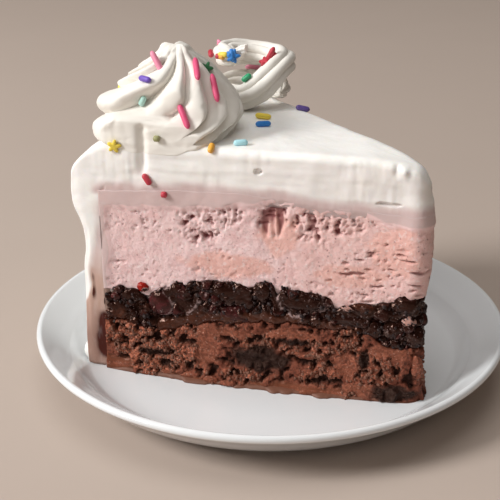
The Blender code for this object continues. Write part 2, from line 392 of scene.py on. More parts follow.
def cell(x, y, z, size, seed=0.0):
    """Distance to the nearest of many scattered points, the gap to the next, and the point's chance value."""
    distances, points = noise.voronoi(Vector((x / size + seed, y / size - seed, z / size)))
    nearest = points[0]
    chance = math.sin(nearest.x * 12.99 + nearest.y * 78.23 + nearest.z * 37.72) * 43758.5
    return distances[0], distances[1] - distances[0], chance % 1.0


def base_height(x, y):
    return SLICE_BASE


def edge_height(places, run):
    """Height at a run along the slice, on a smooth line through (run, level) places."""
    for (run_a, level_a), (run_b, level_b) in zip(places, places[1:]):
        if run <= run_b:
            return level_a + (level_b - level_a) * smooth(run, run_a, run_b)
    return places[-1][1]


def knobs(x, y, size, height, seed):
    """Bumps of an edge where lumps stick up out of it."""
    distance, _, chance = cell(x, y, 0, size, seed)
    return height * (0.35 + 0.65 * chance) * (1 - min(1.0, distance / 0.75) ** 2)


def feature_run(x, y):
    """Run of the features at a point. The back face has the front face's features, shifted along."""
    reach, angle = from_apex(x, y)
    return OUTER_RADIUS - reach + BACK_SHIFT * smooth(angle, -0.15, 0.25)


def chocolate_top(x, y):
    """Height of the chocolate ice cream: thicker halfway along the slice, with a torn edge."""
    level = edge_height(CHOCOLATE_EDGE, feature_run(x, y))
    return SLICE_BASE + level + 0.7 * rough(x, y, 0, 6, 3.0) + knobs(x, y, 2.6, 0.9, 4.0)


def fudge_top(x, y):
    """Height of the fudge layer: it climbs towards the tip, and lumps stick up into the ice cream."""
    level = edge_height(FUDGE_EDGE, feature_run(x, y))
    return SLICE_BASE + level - 0.8 + 0.6 * rough(x, y, 0, 4, 5.0) + knobs(x, y, 3.4, 1.8, 1.0)


def strawberry_top(x, y):
    """Height of the strawberry ice cream: a low crown."""
    crown = hump(feature_run(x, y), 50, 34, 3.0)
    return SLICE_BASE + 64.2 + crown + 0.6 * rough(x, y, 0, 14, 9.0) + 0.25 * grain(x, y, 0, 3, 2.0)


def edge_drop(distance, rounding):
    """How far a rounded edge lies below the flat top, at a distance in from the edge."""
    if distance >= rounding:
        return 0.0
    return rounding - math.sqrt(rounding**2 - (rounding - max(distance, 0.0)) ** 2)


def edge_distance(reach, angle):
    """Distance in from the nearest cut face or from the rounded tip."""
    turn = max(0.0, HALF_ANGLE - abs(angle))
    if reach * math.cos(turn) < TIP_ROUNDING / math.tan(HALF_ANGLE):
        middle = TIP_ROUNDING / math.sin(HALF_ANGLE)
        return TIP_ROUNDING - math.sqrt(reach**2 + middle**2 - 2 * reach * middle * math.cos(angle))
    return reach * math.sin(turn)


def cream_top(x, y):
    """Height of the whipped cream: flat, with rounded edges, sinking at the tip."""
    reach, angle = from_apex(x, y)
    towards_back = 0.5 + 0.5 * angle / HALF_ANGLE
    cut_rounding = 2.6 + 4.9 * towards_back
    drop = edge_drop(OUTER_RADIUS - reach, 12.5)
    drop += edge_drop(edge_distance(reach, angle), cut_rounding)
    uneven = 0.45 * rough(x, y, 0, 16, 4.0, 2) + 0.12 * rough(x, y, 0, 4, 6.0, 2)
    return CREAM_TOP - drop - hump(reach, 0, 12, 5.5) + uneven * smooth(drop, 6, 0)


class Column:
    """An upright line of points on the outline: its place, which way is out, and what it is part of."""

    def __init__(self, x, y, out_x, out_y, kind):
        self.x, self.y, self.out_x, self.out_y, self.kind = x, y, out_x, out_y, kind


def outline(core_radius, arc_radius, inset=0.0, arc_step=1.0, strip=0.0):
    """Columns anticlockwise round the slice from its front outer corner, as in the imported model.

    The cut faces start at core_radius from the apex. From there a strip of the coat's cut edge runs out to
    arc_radius, where the curved outer side lies; its share of the way out is strip.
    """
    sine, cosine = math.sin(HALF_ANGLE), math.cos(HALF_ANGLE)
    spacing = mm(sizes().column)
    cut_steps = round(106 / spacing)
    tip_steps = 2 * round(6 / spacing)
    strip_steps = round(7 / spacing)
    arc_steps = round(94 / arc_step)
    rounding = max(TIP_ROUNDING - inset, SMALLEST_ROUNDING)
    tip_centre = inset / sine + rounding / sine

    def corner(radius):
        """How far behind and beside the apex an arc round it meets a cut face moved in by the inset."""
        run = math.sqrt(radius**2 - inset**2)
        return run * cosine + inset * sine, run * sine - inset * cosine

    def place(back, side, out, kind):
        return Column(APEX_X - back, APEX_Y + side, *out, kind)

    start = corner(core_radius - inset)
    outer = corner(core_radius - inset + (arc_radius - core_radius) * strip)
    run = rounding / math.tan(HALF_ANGLE)
    end = inset / sine + run * cosine, run * sine

    def straight(first, last, steps, side, kind):
        columns = []
        for step in range(steps + 1):
            back, beside = (a + (b - a) * step / steps for a, b in zip(first, last))
            columns.append(place(back, side * beside, (sine, side * cosine), kind))
        return columns

    tip = []
    for step in range(1, tip_steps):
        turn = (math.pi / 2 - HALF_ANGLE) * (2 * step / tip_steps - 1)
        out = math.cos(turn), math.sin(turn)
        tip.append(place(tip_centre - rounding * out[0], rounding * out[1], out, "tip"))

    arc = []
    arc_corner = corner(arc_radius - inset)
    spread = math.atan2(arc_corner[1], arc_corner[0])
    for step in range(arc_steps + 1):
        turn = spread * (1 - 2 * step / arc_steps)
        out = -math.cos(turn), math.sin(turn)
        arc.append(place(-(arc_radius - inset) * out[0], (arc_radius - inset) * out[1], out, "arc"))

    front, back = straight(start, end, cut_steps, -1, "cut"), straight(end, start, cut_steps, 1, "cut")
    if not strip:
        return front + tip + back + arc
    back_strip = straight(start, outer, strip_steps, 1, "strip")[1:]
    front_strip = straight(outer, start, strip_steps, -1, "strip")[:-1]
    return front + tip + back + back_strip + arc[1:-1] + front_strip


class Spot:
    """A point of a cut face, for the functions that give its relief: its place, run and level.

    The run is the distance in from the outer side, and the level is the height above the slice's underside.
    The back face has the front face's features, shifted along.
    """

    def __init__(self, x, y, z):
        self.x, self.y, self.z = x, y, z
        reach, angle = from_apex(x, y)
        self.reach = reach
        self.level = z - SLICE_BASE
        self.run = OUTER_RADIUS - reach
        self.feature_run = feature_run(x, y)

    def patch(self, run, level, half_width, half_height, seed=0.0):
        """1 inside an uneven oval patch, fading to 0 at its edge."""
        across, up = (self.feature_run - run) / half_width, (self.level - level) / half_height
        edge = math.hypot(across, up) + 0.35 * rough(self.x, self.y, self.z, 5, seed, 2)
        return 1 - smooth(edge, 0.75, 1.15)

    def near_line(self, start, end, width):
        """1 on the straight line between two (run, level) places, fading to 0 at its uneven edge."""
        run, level = self.feature_run, self.level
        across, up = end[0] - start[0], end[1] - start[1]
        share = ((run - start[0]) * across + (level - start[1]) * up) / (across**2 + up**2)
        share = min(1.0, max(0.0, share))
        away = math.hypot(run - start[0] - share * across, level - start[1] - share * up)
        return 1 - smooth(away + 0.5 * rough(self.x, self.y, self.z, 3, 2.0, 2), 0.4 * width, width)

    def patches(self, places):
        """How deep the point lies in any of several patches."""
        return max((self.patch(*place, seed=3.0 * i) for i, place in enumerate(places)), default=0.0)


def mesh_object(name, points, faces, finish, attributes=None):
    """An object from points in millimetres, with float attributes for its material."""
    mesh = bpy.data.meshes.new(name)
    mesh.from_pydata([(x * MM, y * MM, z * MM) for x, y, z in points], [], faces)
    for key, values in (attributes or {}).items():
        mesh.attributes.new(key, "FLOAT", "POINT").data.foreach_set("value", values)
    made = bpy.data.objects.new(name, mesh)
    bpy.context.scene.collection.objects.link(made)
    mesh.materials.append(finish)
    return made


def tidy(made, distance=0.01):
    """Merges doubles, shades smooth and turns the faces outwards."""
    work = bmesh.new()
    work.from_mesh(made.data)
    bmesh.ops.remove_doubles(work, verts=work.verts, dist=distance * MM)
    bmesh.ops.dissolve_degenerate(work, edges=work.edges, dist=0.001 * MM)
    bmesh.ops.recalc_face_normals(work, faces=work.faces)
    work.to_mesh(made.data)
    work.free()
    made.data.shade_smooth()
    return made


def rings_mesh(rings):
    """Points and faces of a closed skin over rings of (x, y, z, attribute values), with both ends filled."""
    columns = len(rings[0])
    rows = [point for ring in rings for point in ring]
    faces = []
    for row in range(len(rings) - 1):
        for i in range(columns):
            j = (i + 1) % columns
            low, high = row * columns, (row + 1) * columns
            faces.append((low + i, low + j, high + j, high + i))
    for ring, first, turned in ((rings[0], 0, True), (rings[-1], len(rows) - columns, False)):
        middle = len(rows)
        rows.append(tuple(sum(point[k] for point in ring) / columns for k in range(len(ring[0]))))
        for i in range(columns):
            ends = (first + i, first + (i + 1) % columns)
            faces.append((middle, *(reversed(ends) if turned else ends)))
    return rows, faces


def rings_object(name, rings, finish, keys, extras=()):
    """An object from rings, joined with further closed skins given as their own points and faces."""
    rows, faces = rings_mesh(rings)
    for points, more in extras:
        first = len(rows)
        rows += points
        faces += [tuple(first + i for i in face) for face in more]
    attributes = {key: [row[3 + k] for row in rows] for k, key in enumerate(keys)}
    return mesh_object(name, [row[:3] for row in rows], faces, finish, attributes)


def lump(run, level, half_width, half_height, stand_out, side, jagged, values):
    """A rough lump half sunk in a cut face (side -1 is the front one), as points and faces.

    The values function gives a point's attributes from its direction: along the run, up and out of the face.
    """
    ball = bmesh.new()
    bmesh.ops.create_icosphere(ball, subdivisions=4, radius=1.0)
    if side > 0:
        run -= BACK_SHIFT
    reach = OUTER_RADIUS - run
    sine, cosine = math.sin(HALF_ANGLE), math.cos(HALF_ANGLE)
    middle = Vector((APEX_X - reach * cosine, APEX_Y + side * reach * sine, SLICE_BASE + level))
    inward = Vector((cosine, -side * sine, 0))
    outward = Vector((sine, side * cosine, 0))
    depth = 0.75 * min(half_width, half_height)
    middle += outward * (stand_out - depth)
    points = []
    for vertex in ball.verts:
        way = vertex.co.normalized()
        seed = run + 3 * level
        _, gap, chance = cell(way.x * 2, way.y * 2, way.z * 2, 1.0, seed)
        size = 1 + 0.22 * rough(way.x, way.y, way.z, 0.9, seed) * jagged
        size += jagged * (0.16 * (chance - 0.5) - 0.10 * smooth(gap, 0.12, 0.0))
        place = middle + inward * (way.x * half_width * size) + outward * (way.y * depth * size)
        place += Vector((0, 0, way.z * half_height * size))
        place.z = max(place.z, SLICE_BASE + 0.05)
        points.append((*place, *values(way.x, way.z, way.y)))
    faces = [tuple(vertex.index for vertex in face.verts) for face in ball.faces]
    ball.free()
    return points, faces


def layer(name, bottom, top, relief, keys, finish, rows, lumps=()):
    """A layer between two heights whose cut sides have the relief that the function gives.

    The relief function takes a spot and its share of the layer's height. It gives how far the surface stands
    out and a value for each of the attributes in keys.
    """
    plain = [0.0] * len(keys)
    insets = (22, 9, 2)

    def level_ring(inset, height):
        columns = outline(CORE_RADIUS, CORE_RADIUS, inset, arc_step=6)
        return [(c.x, c.y, height(c.x, c.y), *plain) for c in columns]

    columns = outline(CORE_RADIUS, CORE_RADIUS, arc_step=6)
    rings = [level_ring(inset, bottom) for inset in insets]
    for row in range(rows + 1):
        share = row / rows
        ring = []
        for c in columns:
            z = bottom(c.x, c.y) + (top(c.x, c.y) - bottom(c.x, c.y)) * share
            if c.kind == "arc":
                ring.append((c.x, c.y, z, *plain))
                continue
            out, *values = relief(Spot(c.x, c.y, z), share)
            ring.append((c.x + c.out_x * out, c.y + c.out_y * out, z, *values))
        rings.append(ring)
    rings += [level_ring(inset, top) for inset in reversed(insets)]
    made = tidy(rings_object(name + "_body", rings, finish, keys, lumps))
    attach(made, "root")
    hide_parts(name)
    return made


# ---------------------------------------------------------------- plate


def porcelain():
    """White glaze, slightly uneven, with a gentle waviness in its gloss."""
    finish = Finish("porcelain", Coat_Weight=0.5, Coat_Roughness=0.06, IOR=1.5)
    drift = finish.clouds(30, 2)
    finish.set("Base Color", finish.mix(drift, paint("porcelain"), paint("porcelain", 0.97)))
    finish.set("Roughness", 0.16 + 0.08 * finish.clouds(12, 3))
    finish.bump(finish.clouds(18, 2), 0.05)
    return finish.material


def plate_profile():
    """Half of the plate's section, from the middle of its underside round to the middle of its well."""
    lip, rim, thickness = 1.3, 16.7, 3.2
    underside = WELL_FLOOR - thickness
    points = [(0, underside), (40.5, underside), (42, underside - 0.4)]
    for step in range(9):
        turn = math.radians(180 + 22.5 * step)
        points.append((46 + 3.4 * math.cos(turn), 1.0 + 1.0 * math.sin(turn)))
    points += [(50, underside - 0.4), (51.5, underside), (65, underside + 0.5)]
    for step in range(1, 9):
        share = step / 8
        points.append((65 + 8.2 * share, underside + 0.5 + 4.5 * share**1.6))
    for step in range(1, 4):
        share = step / 4
        points.append((73.2 + 7.4 * share, 6.6 + 7.0 * share))
    for step in range(15):
        turn = math.radians(-50 + 180 * step / 14)
        points.append((PLATE_RADIUS - lip + lip * math.cos(turn), rim - lip + lip * math.sin(turn)))
    for step in range(1, 4):
        share = step / 4
        points.append((79.7 - 8.2 * share, 16.3 - 6.5 * share - 0.35 * math.sin(math.pi * share)))
    for step in range(12, -1, -1):
        share = step / 12
        points.append((65 + 6.5 * share, WELL_FLOOR + 5.0 * share**1.6))
    return points + [(52, WELL_FLOOR), (30, WELL_FLOOR), (0, WELL_FLOOR)]


def lathe_tree():
    """Geometry Nodes that turn a line of points round the upright axis."""
    tree, (profile, points, steps, finish) = geometry_tree(
        "plate_lathe", Profile="Geometry", Points="Int", Steps="Int", Finish="Material"
    )
    grid = node(tree, "GeometryNodeMeshGrid", None, {"Vertices X": steps + 1, "Vertices Y": points})
    index = node(tree, "GeometryNodeInputIndex")
    turn = (index / points).math("FLOOR") * (math.tau / steps)
    where = node(tree, "GeometryNodeInputPosition")
    sampled = node(
        tree, "GeometryNodeSampleIndex", {"data_type": "FLOAT_VECTOR"},
        {"Geometry": profile, 1: where, "Index": index.math("MODULO", points)},
    )
    radius, _, height = parts(sampled)
    place = node(
        tree, "ShaderNodeCombineXYZ", None,
        {0: radius * turn.math("COSINE"), 1: radius * turn.math("SINE"), 2: height},
    )
    turned = node(tree, "GeometryNodeSetPosition", None, {"Geometry": grid, "Position": place})
    welded = node(tree, "GeometryNodeMergeByDistance", None, {"Geometry": turned, "Distance": 0.02 * MM})
    return end_tree(tree, welded, finish)


class CAKE_OT_plate(bpy.types.Operator):
    """Turn the plate from its section"""

    bl_idname = "cake.plate"
    bl_label = "Plate"

    def execute(self, context):
        points = [(r * MM, 0.0, z * MM) for r, z in plate_profile()]
        mesh = bpy.data.meshes.new("plate_section")
        mesh.from_pydata(points, [(i, i + 1) for i in range(len(points) - 1)], [])
        section = bpy.data.objects.new("plate_section", mesh)
        context.scene.collection.objects.link(section)
        values = {"Points": len(points), "Steps": 256, "Finish": porcelain()}
        made = run_nodes("plate_body", section, lathe_tree(), values)
        bpy.data.objects.remove(section)
        tidy(made)
        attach(made, "root")
        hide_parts("plate")
        return {"FINISHED"}


# ---------------------------------------------------------------- ice cream layers

# Patches of the front cut face: run, level, half width and half height.
PITTED = [(41, 55, 6.5, 9), (50, 59, 5, 4), (66, 60, 5, 5), (76, 58, 6, 5), (86, 59, 9, 3.5)]
DRAGGED = [(65, 58, 4, 6)]
PEACHY = [(50, 42, 14, 5), (67, 55, 7, 8), (90, 42, 12, 4), (104, 52, 9, 9)]
CHUNKS = [(61, 10, 10, 4.5), (106, 2.5, 8.5, 3), (72, 17, 8, 1.2), (24, 8, 7, 1.5), (96, 13, 2, 3)]
SMOOTHED = [
    (43, 13, 4.5, 8), (48, 18, 9, 1.5), (72, 19.5, 9, 2), (90, 11, 4.5, 4), (95, 3, 6, 2), (104, 17, 8, 2.5),
]
STREAKED = [(76, 0.5, 19, 2.8), (7, 2, 9, 3), (36, 0.5, 8, 2)]
CRUMBLY = [(22, 11, 14, 7), (76, 15, 9, 3.5), (99, 11, 9, 6), (58, 4, 9, 3), (82, 8, 6, 3.5)]


def pocks(spot, size, depth, share, seed):
    """Round pores scattered over a face: how deep this point lies in one."""
    distance, _, chance = cell(spot.x, spot.y, spot.z, size, seed)
    if chance > share:
        return 0.0
    width = 0.22 + 0.2 * chance / share
    return depth * (1 - smooth(distance, 0.3 * width, width))


def tip_bulge(spot):
    """The soft ice cream bulges at the tip, just below the cream."""
    return hump(spot.reach, 8, 9) * (hump(spot.level, 60, 9, 1.2) + hump(spot.level, 47, 13, 2.3))


def strawberry_relief(spot, share):
    """Cut strawberry ice cream: pores, fine level cracks, torn patches, and smeared cream at its edges."""
    x, y, z = spot.x, spot.y, spot.z
    run = spot.feature_run
    from_top = strawberry_top(x, y) - z
    ragged = 0.9 * rough(x, y, z, 11, 2.0) + 0.35 * grain(x, y, z, 2.5, 4.0)
    band = 6.6 - 4.4 * smooth(run, 42, 72) + 2.5 * smooth(run, 92, 104)
    smear = 1 - smooth(from_top + ragged, band - 2.2, band + 0.8)
    smear = max(smear, 1 - smooth(spot.run + ragged, 8.0, 11.0))
    torn = spot.patches(PITTED) * (1 - smear)
    dragged = spot.patches(DRAGGED) * (1 - 0.6 * smear)
    pore = pocks(spot, mm(sizes().pore), 0.9, 0.6, 1.0) + pocks(spot, 1.15, 0.6, 0.45, 5.0)
    pore *= smooth(rough(x, y, z, 9, 37.0, 2), -0.3, 0.35)
    crack_line = noise.noise(Vector((x / 4.2 + 8, y / 4.2, z / 1.15)))
    cracked = 0.6 * smooth(grain(x, y, z, 16, 3.0), 0.05, 0.4)
    cracked = max(cracked, smooth(run, 74, 88) * smooth(spot.level, 56, 50))
    crack = 1.25 * smooth(crack_line, 0.27, 0.42) * cracked * smooth(rough(x, y, z, 5, 9.0, 2), -0.35, 0.2)
    distance, _, chance = cell(x, y, z * 0.85, 2.3, 11.0)
    fine_distance = cell(x, y, z, 1.35, 17.0)[0]
    torn_deep = smooth(distance, 0.66, 0.15) * (0.4 + 0.6 * chance)
    torn_deep += 0.9 * smooth(rough(x, y, z, 2.4, 3.0), 0.1, 0.5)
    pit = torn * (1.3 * torn_deep + 0.8 * smooth(fine_distance, 0.5, 0.1))
    fins = smooth(noise.noise(Vector((x / 1.5, y / 1.5, z / 12))), -0.15, 0.35)
    pit = pit * (1 - dragged) + 1.5 * dragged * (1 - fins)
    deep = (pore + crack) * (1 - smear) * (1 - 0.6 * hump(run, 56, 7)) + pit
    flow = 0.35 * rough(x, y, z, 12, 1.0) + 0.14 * rough(x, y, z, 1.7, 2.0, 2) * (1 - smear)
    out = flow - mm(sizes().recess) * (1 - smear) - deep + tip_bulge(spot)
    out += 0.35 * (1 - smooth(share, 0.0, 0.05)) * grain(x, y, z, 4, 3.0)
    peach = max(spot.patches(PEACHY), 0.45 * smooth(run, 60, 80))
    # Besides the relief it gives how deep the point lies in a pit, pore or crack, which the material paints
    # as shade.
    return out, min(1.0, deep / 2.0), min(1.0, peach), smear


def foot_spread(reach):
    """How far the chocolate's foot has spread out past the cut face."""
    return 3.6 * math.sin(math.pi * min(1.0, reach / OUTER_RADIUS)) ** 0.7


def chocolate_relief(spot, share):
    """Cut chocolate ice cream: coarse crumb and pits, black chunks, and smooth smears at its foot."""
    x, y, z = spot.x, spot.y, spot.z
    streaked = spot.patches(STREAKED)
    chunk = spot.patches(CHUNKS) * (1 - streaked)
    smoothed = max(spot.patches(SMOOTHED), streaked) * (1 - chunk)
    crumbly = max(spot.patches(CRUMBLY), smooth(grain(x, y, z, 9, 6.0), 0.0, 0.3))
    crumbly *= (1 - smoothed) * (1 - chunk)
    distance, _, chance = cell(x, y, z, mm(sizes().crumb), 3.0)
    grit = smooth(distance, 0.75, 0.1) * (0.35 + 0.65 * chance)
    coarse_distance, _, coarse_chance = cell(x, y, z, 2.8, 9.0)
    coarse = smooth(coarse_distance, 0.8, 0.1) * coarse_chance
    hole = smooth(rough(x, y, z, 2.8, 12.0), 0.05, 0.4) * (1 - smoothed) * (1 - chunk)
    shards = smooth(rough(x, y, z, 2.6, 15.0), -0.1, 0.4)
    low = max(0.0, 1 - spot.level / 20)
    foot = 0.8 * smooth(grain(x, y, z, 7, 31.0), -0.2, 0.4) * smooth(spot.level, 6, 1)
    out = foot_spread(spot.reach) * low**1.5 + foot + 0.5 * rough(x, y, z, 6, 1.0)
    bitty = 1 - 0.9 * smoothed
    out += (grit * (0.35 + 0.85 * crumbly) + 1.1 * coarse) * bitty - 1.9 * hole + chunk * (1.4 * shards - 0.7)
    out += 0.25 * noise.noise(Vector((x / 9, y / 9, z / 0.9))) * smoothed - 0.5 * smooth(share, 0.97, 1.0)
    # How pale the chocolate is: higher on standing crumbs, on smooth smears and towards the outer side, and
    # painted partly as light on the crumb tops.
    tone = 0.12 + 0.8 * grit * crumbly + 0.45 * coarse * crumbly + 0.25 * smoothed
    tone += 0.7 * smooth(spot.feature_run, 48, 20) * crumbly
    gravel = crumbly * (1 - hole)
    # Besides the relief it gives how deep the point lies in a hole, which the material paints as shade.
    return out, min(1.0, hole * 1.2), min(1.0, max(0.0, tone)), chunk, max(0.45 * smoothed, streaked), gravel


# Painted highlights along glossy folds of the fudge, as pale lines from one (run, level) to another.
GLINT_LINES = [
    ((36, 23), (39, 26)), ((39, 26), (43.5, 32)), ((22.5, 27), (25, 31)), ((25, 31), (30, 32.0)),
    ((67, 33), (68, 29)), ((68, 29), (72, 26)), ((72, 26), (80, 28)), ((14, 31), (19, 30)),
]


def fudge_relief(spot, share):
    """Crunchy fudge: lumps of two sizes with deep gaps between them, and smooth stretches of fudge."""
    x, y, z = spot.x, spot.y, spot.z
    calm = smooth(share, 0.34, 0.2) * smooth(grain(x, y, 0, 14, 21.0), -0.3, 0.0)
    calm = max(calm, smooth(grain(x, y, z, 8, 27.0), 0.22, 0.42))
    distance, gap, chance = cell(x, y, z, mm(sizes().crunch), 2.0)
    big = (0.3 + 2.2 * chance) * (1 - min(1.0, distance) ** 2)
    small_distance, _, small_chance = cell(x, y, z, 1.5, 4.0)
    small = 0.9 * small_chance * (1 - min(1.0, small_distance) ** 2)
    # Painted highlight lines, which also stand out a little.
    vein = 0.8 * max(spot.near_line(*ends, 0.8) for ends in GLINT_LINES)
    vein *= smooth(rough(x, y, z, 3, 35.0, 2), -0.25, 0.15)
    out = (big + small - 1.5 * smooth(gap, 0.25, 0.0)) * (1 - 0.85 * calm)
    out += 0.45 * rough(x, y, z, 5, 1.0) - 0.9 + 1.1 * calm + 0.3 * vein
    out -= 0.6 * smooth(min(share, 1 - share), 0.08, 0.0)
    brown_patch = 0.8 * smooth(grain(x, y, z, 5, 14.0), 0.25, 0.5) * smooth(spot.run, 40, 0)
    brown = max(calm * smooth(share, 0.5, 0.2), brown_patch)
    gravel = (1 - calm) * (0.3 + 0.7 * smooth(grain(x, y, z, 7, 33.0), -0.1, 0.3))
    return out, 0.7 * chance * (1 - calm), brown, vein, gravel


def strawberry_finish():
    """Matte pink with pale grains, dark dots, peach patches and painted shade in its pits, pores and cracks,
    and a smooth mauve smear at its edges.
    """
    finish = Finish("strawberry_ice_cream", Subsurface_Weight=0.12, Subsurface_Scale=2.0 * MM, IOR=1.4)
    finish.shader.inputs["Subsurface Radius"].default_value = (1.0, 0.45, 0.35)
    pit, peach, smear = (finish.attribute(key) for key in ("pit", "peach", "smear"))
    drift = finish.clouds(5, 4).between(0.4, 0.72)
    tint = finish.mix(0.35 * drift, paint("strawberry"), paint("strawberry_deep"))
    tint = finish.mix(0.8 * peach, tint, paint("peach"))
    grainy = finish.clouds(0.95, 5, finish.stretched(1, 1, 1.7), 0.75)
    tint = finish.mix(grainy.between(0.57, 0.70) * (1 - smear), tint, paint("strawberry_deep"))
    dots = (1 - finish.cells(1.5)).between(0.72, 0.9) * finish.clouds(2.5, 2).between(0.45, 0.6)
    tint = finish.mix(0.6 * dots * (1 - smear), tint, paint("pit"))
    pale = finish.clouds(1.4, 4).between(0.55, 0.68) * (1 - smear)
    tint = finish.mix(0.6 * pale, tint, paint("mauve_pale"))
    smeared = finish.mix(smear.between(0.75, 1.0), paint("strawberry"), paint("mauve"))
    tint = finish.mix(smear.between(0.0, 0.8), tint, smeared)
    # Painted shade: the deeper the pit, pore or crack, the darker.
    tint = finish.mix(pit.between(0.2, 0.9), tint, paint("pit"))
    finish.set("Base Color", tint)
    finish.set("Roughness", 0.62 - 0.2 * smear)
    finish.bump((finish.clouds(1.3, 6, roughness=0.7) + 0.6 * grainy) * (1 - 0.8 * smear), 0.36, 1.0)
    return finish.material


def chocolate_finish():
    """Reddish brown crumb with paler crumbs, painted light and highlights on the crumb tops, painted shade in
    its holes and low places, black chunks and glossy melted streaks.
    """
    finish = Finish(
        "chocolate_ice_cream", Subsurface_Weight=0.04, Subsurface_Scale=1.2 * MM, IOR=1.45,
        Specular_Tint=(1.0, 0.66, 0.52, 1.0),
    )
    pit, tone, chunk, smoothed = (finish.attribute(key) for key in ("pit", "tone", "chunk", "smoothed"))
    rough_bits = finish.clouds(0.9, 5, roughness=0.7)
    # Painted shade where the fine relief lies low.
    shadow = rough_bits.between(0.5, 0.35) * (1 - 0.8 * tone)
    tint = finish.mix(shadow, paint("chocolate"), paint("chocolate_pit_shade"))
    # Paler where this value is high and on the fine relief's high places: partly paler crumb, partly painted
    # light on the crumb tops.
    tint = finish.mix(tone * (0.4 + 1.1 * rough_bits.between(0.45, 0.62)), tint, paint("chocolate_pale_and_lit"))
    # Painted highlights on the paler crumbs.
    glints = finish.clouds(0.7, 3).between(0.60, 0.68) * tone.between(0.15, 0.5)
    tint = finish.mix(0.8 * glints, tint, paint("crumb_glint"))
    streaks = finish.clouds(3, 3, finish.stretched(0.3, 0.3, 3.0)).between(0.35, 0.65)
    tint = finish.mix(smoothed * (0.25 + 0.75 * streaks), tint, paint("chocolate_smear"))
    tint = finish.mix(chunk, tint, paint("fudge"))
    # Painted shade in the holes.
    tint = finish.mix(pit, tint, paint("chocolate_pit_shade"))
    finish.set("Base Color", tint)
    finish.set("Roughness", 0.46 - 0.22 * smoothed - 0.2 * chunk + 0.15 * finish.clouds(1.5, 2))
    finish.bump(rough_bits * (1 - 0.8 * smoothed), 0.7, 1.0)
    return finish.material


def fudge_finish():
    """Wet near-black fudge with plum and brown places and pale painted highlights.

    The third attribute is a painted highlight up to 1, nut up to 2 and red cherry past that.
    """
    finish = Finish("fudge_crunch", IOR=1.42, Specular_Tint=(1.0, 0.62, 0.50, 1.0))
    plum, brown, vein = (finish.attribute(key) for key in ("plum", "brown", "vein"))
    drift = finish.clouds(2.2, 4).between(0.4, 0.7)
    tint = finish.mix(brown, paint("fudge"), paint("fudge_brown"))
    tint = finish.mix(plum.between(0.3, 1.0) * (0.3 + drift), tint, paint("plum"))
    # Painted highlights: small pale glints scattered over the fudge.
    painted_glints = finish.clouds(0.8, 3).between(0.61, 0.69) * finish.clouds(5, 2).between(0.44, 0.56)
    tint = finish.mix(0.7 * painted_glints, tint, paint("vein"))
    # Painted highlights along the glossy folds and the lumps' rims.
    tint = finish.mix(vein.between(0.0, 1.0) * finish.clouds(1.2, 3).between(0.35, 0.6), tint, paint("vein"))
    tint = finish.mix(vein.between(1.2, 1.8), tint, paint("nut"))
    tint = finish.mix(vein.between(2.2, 2.8), tint, paint("cherry"))
    finish.set("Base Color", tint)
    finish.set("Roughness", 0.04 + 0.22 * finish.clouds(2.4, 3) + 0.08 * plum)
    finish.bump(finish.clouds(1.6, 3), 0.45, 0.8)
    return finish.material


def both_faces(rows):
    """Lumps in both cut faces, one of each for every row.

    A row has the lump's run, level and half sizes, how far it stands out, how jagged it is, and the function
    that gives its attributes.
    """
    lumps = []
    for side in (-1, 1):
        for run, level, half_width, half_height, stand_out, jagged, values in rows:
            lumps.append(lump(run, level, half_width, half_height, stand_out, side, jagged, values))
    return lumps


